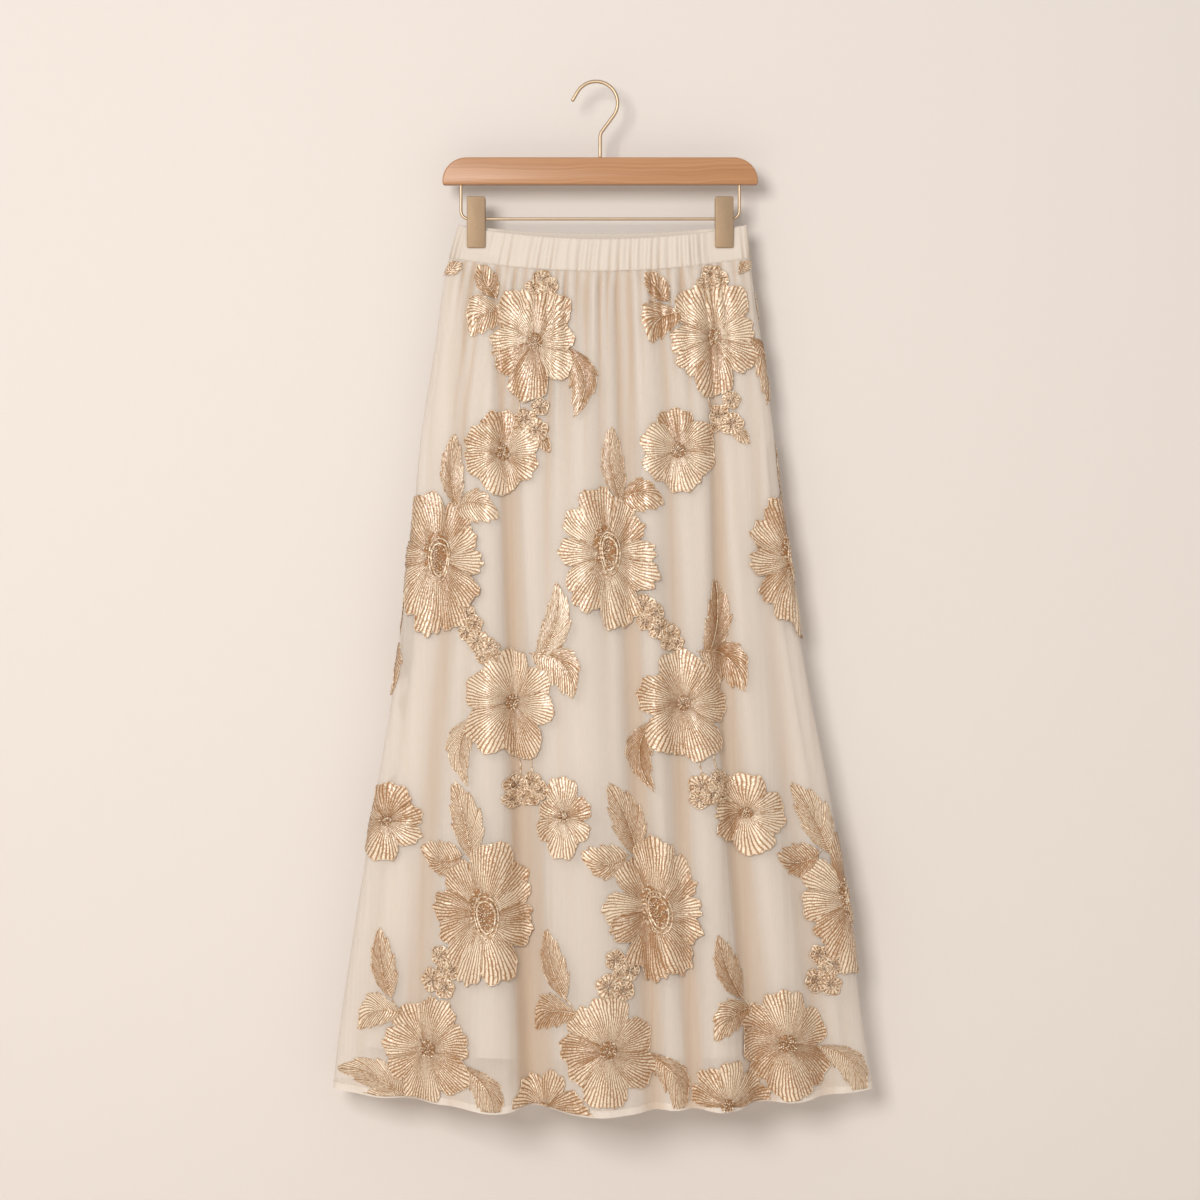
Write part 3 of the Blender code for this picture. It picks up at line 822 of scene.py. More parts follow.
FOLDS: dict[Side, tuple[Fold, ...]] = {
    Side.FRONT: table(
        Fold,
        ((-137, -190, -240), (0, 2, 4), 30, 32), ((-130, -172, -204), (-0.2, -5, -9), 36, 34),
        ((-121, -118, -112), (0.5, 7, 13), 52, 32), ((-110, -90, -71), (-0.4, -11, -22), 24, 50),
        ((-22, -10, 6), (0.4, 6, 11), 48, 46), ((29, 39, 68), (-0.6, -8, -12), 28, 34),
        ((56, 66, 86), (0.3, 3, 3), 26, 22), ((84, 90, 106), (-0.4, -4, -9), 28, 28),
        ((108, 116, 140), (0.5, 5, 11), 34, 32), ((130, 142, 181), (-0.2, -9, -11), 26, 34),
        ((150, 170, 220), (0.3, 4, 6), 26, 30), ((158, 200, 256), (0, -3, -6), 26, 28)),
    Side.BACK: table(
        Fold,
        ((-142, -190, -242), (-0.2, -3, -5), 34, 30), ((-118, -150, -190), (0.4, 3, 5), 34, 30),
        ((-84, -104, -128), (-0.4, -6, -9), 30, 36), ((-48, -58, -70), (0.4, 4, 6), 34, 30),
        ((-8, -12, -20), (-0.4, -5, -8), 34, 34), ((34, 42, 48), (0.4, 4, 6), 34, 36),
        ((70, 84, 112), (-0.4, -6, -9), 36, 30), ((108, 132, 166), (0.4, 3, 6), 32, 34),
        ((140, 176, 224), (-0.2, -4, -6), 32, 30)),
}
CREASES: dict[Side, tuple[Crease, ...]] = {
    Side.FRONT: table(
        Crease,
        (-137, -146, 120, -2.2, 7), (-110, -104, 330, -4.2, 9), (-98, -90, 210, 2.4, 10),
        (-64, -70, 120, -1.6, 6), (-15, -14, 170, -3, 7), (-2, 2, 130, 1.8, 8),
        (29, 35, 300, -3.4, 8), (44, 52, 170, 2, 9), (59, 62, 160, -2.2, 7),
        (93, 97, 140, -2.4, 7), (108, 112, 190, 2.2, 10), (132, 140, 260, -3.2, 9),
        (150, 166, 220, 1.8, 10), (-144, -182, 480, -2, 6), (-134, -214, 905, -2.4, 8),
        (-120, -158, 790, -2.6, 7), (-88, -94, 610, -3, 7), (-50, -62, 890, -2.8, 7),
        (-34, -26, 520, -2.4, 6), (6, 18, 760, -3, 7), (20, 38, 570, -3.2, 6),
        (40, 54, 890, -2.6, 7), (72, 92, 700, -2.8, 7), (100, 126, 850, -2.4, 7),
        (122, 168, 900, -2.6, 8), (143, 200, 890, -2.4, 7)),
    Side.BACK: table(
        Crease,
        (-130, -142, 180, -2.4, 8), (-92, -100, 220, -2.8, 8), (-60, -64, 150, 2, 9),
        (-30, -34, 260, -2.6, 8), (12, 10, 160, -2, 7), (48, 54, 200, 2.2, 10),
        (78, 88, 280, -3, 9), (118, 132, 190, -2.4, 8), (-126, -176, 860, -2.6, 8),
        (-76, -90, 640, -2.8, 7), (-20, -32, 880, -2.6, 8), (30, 30, 560, -3, 6),
        (62, 78, 900, -2.4, 8), (104, 140, 720, -2.8, 7), (136, 190, 880, -2.4, 8)),
}


def smooth(stations: tuple, values: tuple, at: float) -> float:
    """Read a short table on a smooth curve through its rows.

    Args:
        stations: Increasing places of the rows.
        values: Value of each row.
        at: Place to read.

    Returns:
        The value there.
    """
    stations, values = np.asarray(stations, dtype=float), np.asarray(values, dtype=float)
    slopes = np.gradient(values, stations)
    right = int(np.clip(np.searchsorted(stations, at), 1, len(stations) - 1))
    left = right - 1
    step = stations[right] - stations[left]
    share = min(max((at - stations[left]) / step, 0.0), 1.0)
    ease = share * share * (3.0 - 2.0 * share)
    leave = share * (1.0 - share) ** 2 * step
    arrive = share * share * (share - 1.0) * step
    return float(values[left] * (1.0 - ease) + values[right] * ease
                 + slopes[left] * leave + slopes[right] * arrive)


def read(rows: tuple, depth: float) -> Section:
    """Return a table's row at any depth, worked out column by column."""
    stations, *columns = zip(*rows)
    return type(rows[0])(depth, *(smooth(stations, column, depth) for column in columns))


@dataclass
class ClothForm:
    """Shape of the hanging cloth, in millimetres."""

    band_top: float = 158.5
    seam: float = 194.0
    skirt_hem: float = 1112.6
    lining_hem: float = 1063.0
    bulge_power: float = 1.25
    plan_steps: int = 601
    hem_dip: float = 0.22
    crease_rise: float = 18.0
    gathers: int = 32
    gather_height: float = 3.4
    gather_fade: tuple[float, float] = (45.0, 120.0)
    gather_tuck: float = 0.6
    gather_rise: float = 15.0
    side_columns: int = 4

    @property
    def height(self) -> float:
        """Length of the outer cloth from the seam to the hem."""
        return self.skirt_hem - self.seam

    def outer(self, depth: float) -> Section:
        """Plan section of the outer cloth at a depth."""
        return read(SECTIONS, depth)

    def inner(self, depth: float) -> Section:
        """Plan section of the lining at a depth, whose table holds its sides from the outer cloth's."""
        outer, own = self.outer(depth), read(LININGS, depth)
        return own._replace(left=outer.left + own.left, right=outer.right + own.right, side_y=outer.side_y)

    def curve(self, section: Section, side: Side, shares: Array) -> tuple[Array, Array, float]:
        """Points and outward normals of a section at shares of its run.

        Args:
            section: Plan section.
            side: Which panel.
            shares: Places from the left seam (0) to the right seam (1).

        Returns:
            Points, normals and the length of the run.
        """
        facing = side.value
        half = (section.right - section.left) / 2.0
        middle = (section.right + section.left) / 2.0
        across = np.sin(np.linspace(-0.5, 0.5, self.plan_steps) * pi)
        inside = np.minimum(half * (1.0 - np.abs(across)), section.end_radius)
        turn = np.sqrt(section.end_radius ** 2 - (section.end_radius - inside) ** 2)
        bulge = section.front if side is Side.FRONT else section.back
        x = middle + half * across
        y = section.side_y + facing * (turn + bulge * (1.0 - across ** 2) ** self.bulge_power)
        run = np.concatenate([[0.0], np.cumsum(np.hypot(np.diff(x), np.diff(y)))])
        length = np.hypot(np.gradient(x), np.gradient(y))
        lines = (x, y, -facing * np.gradient(y) / length, facing * np.gradient(x) / length)
        read_off = np.stack([np.interp(shares * run[-1], run, line) for line in lines], axis=1)
        normal = read_off[:, 2:]
        return read_off[:, :2], normal / np.linalg.norm(normal, axis=1)[:, None], run[-1]

    def across(self, x: Array, depth: float) -> Array:
        """How far points lie from the middle towards the side seams, from -1 to 1."""
        section = self.outer(depth)
        return (2.0 * x - section.right - section.left) / (section.right - section.left)

    def relief(self, side: Side, x: Array, down: float, below: float) -> tuple[Array, Array]:
        """How far the broad folds and the narrow pleats push the cloth out.

        Args:
            side: Which panel.
            x: Places across.
            down: Share of the way down the folds.
            below: Drop under the seam, for the pleats.

        Returns:
            Height of the folds and of the pleats at each place.
        """
        folds, pleats = np.zeros_like(x), np.zeros_like(x)
        for fold in FOLDS[side]:
            centre, out = (smooth((0.0, 0.5, 1.0), row, down) for row in (fold.x, fold.out))
            flank = np.abs(x - centre) / (np.where(x < centre, fold.left, fold.right) * (0.45 + 0.55 * down))
            folds += out * 0.5 * (1.0 + np.cos(pi * np.clip(flank, 0.0, 1.0)))
        for crease in CREASES[side]:
            share = min(below / crease.drop, 1.0)
            centre = crease.x_top + (crease.x_end - crease.x_top) * share
            width = crease.width * (0.8 + 1.4 * share)
            fade = min(below / self.crease_rise, 1.0) * 0.5 * (1.0 + cos(pi * share))
            pleats += crease.out * fade * np.exp(-((x - centre) / width) ** 2)
        return folds, pleats

    def gather_wave(self, side: Side, shares: Array) -> tuple[Array, Array]:
        """Heights of the gathers from 0 to 1, and how far below the seam each fades.

        Args:
            side: Which panel.
            shares: Places across the run.

        Returns:
            Height and fade length at each place.
        """
        seed = 0.7 if side is Side.FRONT else 2.9
        plain = self.side_columns
        index = np.arange(2 * self.gathers)
        widths = 1.0 + 0.26 * np.sin(1.9 * index + 0.4) + 0.2 * np.sin(0.67 * index + 1.3)
        widths[:plain] = widths[-plain:] = 0.5
        places = np.concatenate([[0.0], np.cumsum(widths)])
        places /= places[-1]
        index = np.arange(len(places))
        size = np.where(index % 2 == 0, 0.0, 0.72 + 0.28 * np.sin(2.3 * index + seed))
        size[:plain] = size[-plain:] = 0.0
        at = np.interp(shares, places, index)
        left = np.clip(np.floor(at).astype(int), 0, len(places) - 2)
        ease = 0.5 * (1.0 - np.cos(pi * (at - left)))
        wave = size[left] * (1.0 - ease) + size[left + 1] * ease
        low, high = self.gather_fade
        fade = low + (high - low) * (0.5 + 0.5 * np.sin(1.7 * np.floor(at / 2.0) + seed))
        return wave, fade

    @staticmethod
    def drops(across: Array, down: float, top: tuple, low: tuple, dip: Array | float = 0.0) -> Array:
        """Depths of a row between two edges, each given by its depth at the seams and its sag."""
        upper = top[0] + top[1] * (middle := 1.0 - across ** 2)
        return upper + (low[0] + low[1] * middle + dip - upper) * down


def fold_shade_share(height: Array, run: float) -> Array:
    """How deep in a fold each point of a row lies, against the cloth about it, for the shade painted into the
    folds.

    Args:
        height: How far the row's points are pushed out, in millimetres.
        run: Length of the row.

    Returns:
        Share from 0 on a crest to 1 deep in a fold.
    """
    total = np.zeros_like(height)
    for width, depth in ((6.0, 1.7), (14.0, 3.8), (56.0, 19.0)):
        reach = max(1, int(0.7 * width / run * len(height)))
        box = np.ones(2 * reach + 1) / (2 * reach + 1)
        level = height
        for _ in range(2):
            level = np.convolve(np.pad(level, reach, mode="edge"), box, mode="valid")
        total += (level - height) / depth
    return 1.0 - np.exp(-1.15 * np.maximum(total + 0.06, 0.0) ** 1.2)


@dataclass
class Drape:
    """The outer cloth worked out on a fine grid, so that anything can be laid on it."""

    form: ClothForm
    rows: int = 260
    columns: int = 641

    def __post_init__(self) -> None:
        """Work out both panels."""
        self.downs = np.linspace(0.0, 1.0, self.rows)
        self.shares = np.linspace(0.0, 1.0, self.columns)
        self.points, self.normals, self.runs, self.fold_shades = {}, {}, {}, {}
        for side in Side:
            self._work_out(side)

    def _work_out(self, side: Side) -> None:
        """Fill one panel's grids of points, normals, run lengths and painted fold shade.

        Args:
            side: Which panel.
        """
        form, edges = self.form, EDGES[side]
        wave, fade = form.gather_wave(side, self.shares)
        rows = []
        for down in self.downs:
            below = form.height * down
            depth = form.seam + below
            plan, normal, run = form.curve(form.outer(depth), side, self.shares)
            across = form.across(plan[:, 0], depth)
            calm = 1.0 - across ** 8
            folded, pleated = (height * calm for height in form.relief(side, plan[:, 0], down, below))
            tuck = form.gather_tuck + (1.0 - form.gather_tuck) * min(below / form.gather_rise, 1.0)
            gathered = form.gather_height * tuck * wave * np.exp(-(below / fade) ** 2)
            out = folded + gathered + pleated
            deep = fold_shade_share(out, run)
            # Painted shade in the narrow valleys between gathers, fading down from the seam, joined to the
            # fold shade.
            pleat = 0.62 * (1.0 - wave) ** 6 * np.exp(-(below / (1.9 * fade)) ** 2) * calm
            drop = form.drops(across, down, (form.seam, edges.seam), (form.skirt_hem, edges.skirt_hem),
                              form.hem_dip * folded * down ** 2)
            rows.append((np.column_stack([plan + normal * out[:, None], -drop]), run,
                         np.clip(deep + pleat * (1.0 - deep), 0.0, 0.92)))
        points, self.runs[side], self.fold_shades[side] = map(np.array, zip(*rows))
        normals = np.cross(np.gradient(points, axis=1), np.gradient(points, axis=0))
        normals /= np.linalg.norm(normals, axis=2)[:, :, None]
        if np.sign(np.median(normals[:, :, 1])) != side.value:
            normals = -normals
        self.points[side], self.normals[side] = points, normals

    def sample(self, side: Side, share: Array, down: Array) -> tuple[Array, Array]:
        """Read points and normals between the grid's.

        Args:
            side: Which panel.
            share: Places across, from 0 to 1.
            down: Places down, from 0 to 1.

        Returns:
            Points and normals.
        """
        column = np.clip(share, 0.0, 1.0) * (self.columns - 1)
        row = np.clip(down, 0.0, 1.0) * (self.rows - 1)
        left = np.clip(column.astype(int), 0, self.columns - 2)
        top = np.clip(row.astype(int), 0, self.rows - 2)
        beside, below = (column - left)[..., None], (row - top)[..., None]
        found = []
        for grid in (self.points[side], self.normals[side]):
            upper, lower = (grid[line, left] * (1.0 - beside) + grid[line, left + 1] * beside
                            for line in (top, top + 1))
            found.append(upper * (1.0 - below) + lower * below)
        return found[0], found[1]

    def fold_shade_at(self, side: Side, share: Array, down: Array) -> Array:
        """How deep in a fold places lie, read from the nearest grid point, for the painted fold shade.

        Args:
            side: Side of the skirt.
            share: Share of the way round.
            down: Share of the way down.

        Returns:
            Depths from 0 to 1.
        """
        row, column = (np.rint(np.clip(place, 0.0, 1.0) * (count - 1)).astype(int)
                       for place, count in ((down, self.rows), (share, self.columns)))
        return self.fold_shades[side][row, column]

    def run_at(self, side: Side, down: Array) -> Array:
        """Length across a panel at a place down it."""
        return np.interp(down, self.downs, self.runs[side])


@dataclass
class Spot:
    """A place on the cloth that a motif is laid round, right and up in millimetres."""

    drape: Drape
    side: Side
    share: float
    down: float
    lift: float = 0.5

    def lay(self, right: Array, up: Array, out: Array) -> Array:
        """Lay local points on the cloth; what would pass the seam or hem is held at the edge.

        Args:
            right: Distance to the right, seen from outside.
            up: Distance up.
            out: Height over the cloth.

        Returns:
            Points in metres.
        """
        drape = self.drape
        down = np.clip(self.down - up / drape.form.height, 0.003, 0.9975)
        front, back = (drape.run_at(side, down) for side in Side)
        if self.side is Side.FRONT:
            place = (self.share - 0.5) * front + right
        else:
            place = front / 2.0 + (1.0 - self.share) * back + right
        whole = front + back
        place = (place + whole / 2.0) % whole - whole / 2.0
        past = np.abs(place) - front / 2.0
        back_share = np.where(place > 0.0, 1.0 - past / back, past / back)
        sides = zip(drape.sample(Side.BACK, back_share, down),
                    drape.sample(Side.FRONT, 0.5 + place / front, down))
        points, normals = (np.where((past > 0.0)[..., None], *pair) for pair in sides)
        return (points + normals * (out + self.lift)[..., None]) * MM

    def fold_shade(self, right: Array, up: Array) -> Array:
        """How deep in a fold local points lie, from 0 to 1, for the painted shade on embroidery there."""
        down = self.down - up / self.drape.form.height
        return self.drape.fold_shade_at(self.side, self.share + right / self.drape.run_at(self.side, down), down)

    def inside(self, right: Array, up: Array) -> Array:
        """Whether local points lie between the seam and the hem."""
        down = self.down - (up + 0.0 * right) / self.drape.form.height
        return (down > 0.0) & (down < 1.0)


# ---- camera, light and stage
@dataclass
class Studio:
    """Camera at the photo's view, soft daylight from the upper left, a pale wall and floor."""

    palette: Palette
    centre: tuple[float, float, float] = (0.0044, 0.0, -0.5736)
    frame_width: float = 1.332
    lens: float = 85.0
    sensor: float = 36.0
    wall_y: float = 0.0405
    wall_top: float = 2.2
    floor_z: float = -1.42
    half_width: float = 3.2

    @property
    def distance(self) -> float:
        """Distance from the camera to the hanger's plane."""
        return self.frame_width * self.lens / self.sensor

    def camera(self) -> None:
        """Place the camera."""
        data = bpy.data.cameras.new("camera")
        data.lens = self.lens
        data.sensor_width = self.sensor
        item = link("camera", data)
        item.location = (self.centre[0], -self.distance, self.centre[2])
        item.rotation_euler = (radians(90.0), 0.0, 0.0)
        bpy.context.scene.camera = item

    def seen_at(self, points: Array) -> Array:
        """Find where points seem to lie on the hanger's plane, seen by the camera.

        Args:
            points: Points in millimetres.

        Returns:
            X and Z of each.
        """
        share = (far := self.distance / MM) / (far + points[..., 1])
        return np.stack([self.centre[axis] / MM + (points[..., axis] - self.centre[axis] / MM) * share
                         for axis in (0, 2)], axis=-1)

    def light(self) -> None:
        """Add the lights and the pale surroundings."""
        for name, place, aim, size, power, color in (
                ("window", (-1.2, -3.6, 0.45), (0.05, 0.0, -0.60), 1.3, 80.0, (1.0, 0.97, 0.94)),
                ("bounce", (2.3, -2.4, -0.4), (0.0, 0.0, -0.7), 2.0, 4.0, (1.0, 0.96, 0.92))):
            data = bpy.data.lights.new(name, "AREA")
            data.size, data.energy, data.color = size, power, color
            lamp = link(name, data)
            lamp.location = place
            lamp.rotation_euler = (Vector(aim) - Vector(place)).to_track_quat("-Z", "Y").to_euler()
        world = bpy.data.worlds.new("studio")
        world.use_nodes = True
        back = world.node_tree.nodes["Background"].inputs
        back["Color"].default_value = (1.0, 0.965, 0.93, 1.0)
        back["Strength"].default_value = 0.455
        bpy.context.scene.world = world
        bpy.context.scene.view_settings.view_transform = "Standard"

    def stage(self) -> None:
        """Stand the wall and lay the floor."""
        half, low, y = self.half_width, self.floor_z, self.wall_y
        wall = [(-half, y, low), (half, y, low), (half, y, self.wall_top), (-half, y, self.wall_top)]
        floor = [(-half, -half, low), (half, -half, low), (half, half, low), (-half, half, low)]
        for name, points in (("wall", wall), ("floor", floor)):
            mesh_object(name, np.array(points), [(0, 1, 2, 3)], self.palette[name], smooth=False)


# ---- cloth pieces
@dataclass
class OuterSkirt:
    """Two sheer panels with a narrow turned hem."""

    drape: Drape
    palette: Palette
    trees: Trees
    rows: int = 108
    columns: int = 289
    row_crowding: float = 1.25
    hem_height: float = 8.0
    hem_rows: int = 4
    hem_out: float = 0.35
    stitch_out: float = 0.15
    stitch_drop: float = 0.0006
    stitch_points: int = 400
    cut_top: float = 0.50
    cut_hem: float = 0.72
    cut_length: float = 0.945

    def build(self) -> None:
        """Build both panels, their hems and their stitching."""
        downs = np.linspace(0.0, 1.0, self.rows) ** self.row_crowding
        hem_downs = np.linspace(1.0 - self.hem_height / self.drape.form.height, 1.0, self.hem_rows)
        seams = []
        for side in Side:
            panel = self._sheet("sheer_{}", side, downs, 0.0, self.palette["sheer"])
            finish_piece(panel, "sheer_cloth", f"skirt_{side.label}")
            hem = self._sheet("hem_{}", side, hem_downs, self.hem_out, self.palette["sheer_hem"])
            finish_piece(hem, "sheer_cloth")
            path, normal = self.drape.sample(side, np.linspace(0.0, 1.0, self.stitch_points),
                                             np.full(self.stitch_points, hem_downs[0] + self.stitch_drop))
            seams.append((path + normal * (self.hem_out + self.stitch_out)) * MM)
        stitches = path_object("hem_stitches", seams)
        self.trees.stitches.apply(stitches, Pitch=0.0034, Length=0.0022, Thickness=0.00028,
                                  Material=self.palette["sewing"])
        finish_piece(stitches, "sheer_cloth")

    def _sheet(self, name: str, side: Side, downs: Array, out: float, material: Material) -> Piece:
        """Make a sheet over part of a panel.

        Args:
            name: Its name, with braces for the panel's label.
            side: Which panel.
            downs: Rows down.
            out: Distance out from the cloth.
            material: Its material.

        Returns:
            The sheet.
        """
        drape = self.drape
        across, down = np.meshgrid(np.linspace(0.0, 1.0, self.columns), downs)
        points, normals = drape.sample(side, across, down)
        uv = np.stack([drape.run_at(side, down) * (across - 0.5), down * drape.form.height], axis=-1) * MM
        fold_shades = drape.fold_shade_at(side, across, down)
        return grid_sheet(name, points + normals * out, uv, fold_shades, material, side)


@dataclass
class Lining:
    """Two opaque panels inside the sheer ones, with soft folds of their own."""

    form: ClothForm
    palette: Palette
    rows: int = 80
    columns: int = 193
    row_crowding: float = 1.2
    fold_share: float = 0.55
    gather_height: float = 1.8
    top_gap: float = 0.3
    cut_top: float = 0.37
    cut_hem: float = 0.58
    cut_length: float = 0.885

    def build(self) -> None:
        """Build both panels."""
        for side in Side:
            self._panel(side)

    def _panel(self, side: Side) -> None:
        """Build one panel.

        Args:
            side: Which panel.
        """
        form, edges = self.form, EDGES[side]
        shares = np.linspace(0.0, 1.0, self.columns)
        wave, fade = form.gather_wave(side, shares)
        rows = []
        for down in np.linspace(0.0, 1.0, self.rows) ** self.row_crowding:
            depth = form.seam + (form.lining_hem - form.seam) * down
            plan, normal, run = form.curve(form.inner(depth), side, shares)
            across = form.across(plan[:, 0], depth)
            folded, pleated = form.relief(side, plan[:, 0], down * 0.95, depth - form.seam)
            folded = folded * self.fold_share * (1.0 - 0.2 * down) + pleated
            gathered = self.gather_height * wave * np.exp(-((depth - form.seam) / fade) ** 2)
            height = folded * (1.0 - across ** 6) + gathered
            drop = form.drops(across, down, (form.seam + self.top_gap, edges.seam),
                              (form.lining_hem, edges.lining_hem))
            # The last value is painted shade in the lining's folds.
            rows.append((np.column_stack([plan + normal * height[:, None], -drop]),
                         np.column_stack([run * (shares - 0.5), drop]) * MM, fold_shade_share(height, run)))
        item = grid_sheet("lining_{}_cloth", *map(np.array, zip(*rows)), self.palette["lining"], side)
        finish_piece(item, "lining_cloth", f"lining_{side.label}")


@dataclass
class Waistband:
    """Ruched casing over elastic, pinched flat under the clips."""

    form: ClothForm
    palette: Palette
    trees: Trees
    wall: float = 2.6
    ruche: float = 2.4
    clip_half: float = 10.2
    margin: float = 6.0
    reach: float = 24.0
    flat_margin: float = 1.5
    flat_reach: float = 7.0
    pinch: float = 0.15
    grip_end: float = 0.72
    seam_grip: float = 0.15
    top_rise: float = 1.1
    columns: int = 417
    rows: int = 15
    cut: tuple[float, float] = (0.40, 0.074)
    run_length: float = 0.33

    def build(self) -> None:
        """Build both halves and the stitched seam below them."""
        stitches = path_object("seam_stitches", [self._half(side) for side in Side])
        self.trees.stitches.apply(stitches, Pitch=0.0031, Length=0.0021, Thickness=0.0003,
                                  Material=self.palette["sewing"])
        finish_piece(stitches, "band_cloth")

    def _hold(self, x: Array, margin: float, reach: float) -> Array:
        """How firmly the clips hold the band at each place, from 0 to 1.

        Args:
            x: Places across.
            margin: How far past a clip it is held in full.
            reach: How far the hold takes to fade.

        Returns:
            The hold at each place.
        """
        share = np.zeros_like(x)
        for hand in (-1, 1):
            beyond = np.abs(x - (HANGER_X + hand * CLIP_OFFSET)) - self.clip_half - margin
            flank = np.clip(beyond / reach, 0.0, 1.0)
            share = np.maximum(share, 0.5 * (1.0 + np.cos(pi * flank)))
        return share

    def _ruches(self, side: Side, shares: Array, down: float) -> Array:
        """Relief of the puckers, from 0 to about 1, leaning a little from top to bottom.

        Args:
            side: Which half.
            shares: Places across the run.
            down: Share of the band's height.

        Returns:
            Height at each place.
        """
        lean = 0.0035 * (down - 0.5) * np.sin(shares * 31.0 + side.value)
        wave, _ = self.form.gather_wave(side, np.clip(shares + lean, 0.0, 1.0))
        fine = 0.5 + 0.5 * np.sin(TURN * 57.0 * (shares + 0.4 * lean) + 3.0 * np.sin(shares * 40.0))
        calm = np.clip(np.minimum(shares, 1.0 - shares) / 0.015, 0.0, 1.0)
        return (0.62 * wave ** 0.6 + 0.38 * fine) * calm

    def _half(self, side: Side) -> Array:
        """Build one half and find the line of its lower seam.

        Args:
            side: Which half.

        Returns:
            Points along the seam in metres.
        """
        form, edges = self.form, EDGES[side]
        shares = np.linspace(0.0, 1.0, self.columns)
        clipped = self.wall + self.pinch
        lines = []
        for down in np.linspace(0.0, 1.0, self.rows):
            depth = form.band_top + (form.seam - form.band_top) * down
            section = form.outer(depth)
            plan, normal, _ = form.curve(section, side, shares)
            across = form.across(plan[:, 0], depth)
            hold = self._hold(plan[:, 0], self.margin, self.reach)
            flat = self._hold(plan[:, 0], self.flat_margin, self.flat_reach)
            grip = hold * np.interp(down, (self.grip_end, 1.0), (1.0, self.seam_grip))
            pinched = plan[:, 1] * (1.0 - grip) + side.value * clipped * grip
            plan[:, 1] = np.where(np.abs(plan[:, 1] - section.side_y) > clipped, pinched, plan[:, 1])
            ruches = self._ruches(side, shares, down)
            body = 0.55 + 0.45 * sin(pi * down)
            relief = self.ruche * ruches * (1.0 - flat) * (1.0 - 0.5 * hold) * body
            frill = 0.8 * np.sin(TURN * 61.0 * shares) * (1.0 - hold) * max(0.0, 1.0 - down * 8.0)
            drop = form.drops(across, down, (form.band_top, edges.band_top),
                              (form.seam, edges.seam)) + frill * 0.5
            # Painted shade in the valleys between ruches, stronger towards the seam.
            ruche_shade = np.clip(0.75 - 1.9 * ruches, 0.0, 0.7)
            lines.append((np.column_stack([plan + normal * relief[:, None], -drop]),
                          np.column_stack([plan - normal * self.wall, -drop]),
                          ruche_shade * (1.0 - flat) * (0.35 + 0.65 * down ** 2)))
        outer, inner, fold_shades = map(np.array, zip(*lines))
        middle, half = (outer[0] + inner[0]) / 2.0, (outer[0] - inner[0]) / 2.0
        rounded = [middle + half * cos(angle) + (0.0, 0.0, self.top_rise * sin(angle))
                   for angle in np.radians((30.0, 60.0, 90.0, 120.0, 150.0))]
        ring = np.concatenate([outer[::-1], rounded, inner])
        run = np.cumsum(np.concatenate([[0.0], np.linalg.norm(np.diff(ring[:, 0], axis=0), axis=1)]))
        uv = np.stack(np.meshgrid(shares * self.run_length, run * MM), axis=-1)
        fold_shades = np.concatenate([fold_shades[::-1], np.zeros((len(ring) - self.rows, self.columns))])
        item = grid_sheet("waistband_{}_cloth", ring, uv, fold_shades, self.palette["band"], side)
        with editing(item.data) as shape:
            bmesh.ops.recalc_face_normals(shape, faces=shape.faces)
        item.data.set_sharp_from_angle(angle=radians(60.0))
        finish_piece(item, "band_cloth", f"waistband_{side.label}")
        return (outer[-1] + (0.0, side.value * 0.1, 0.9)) * MM


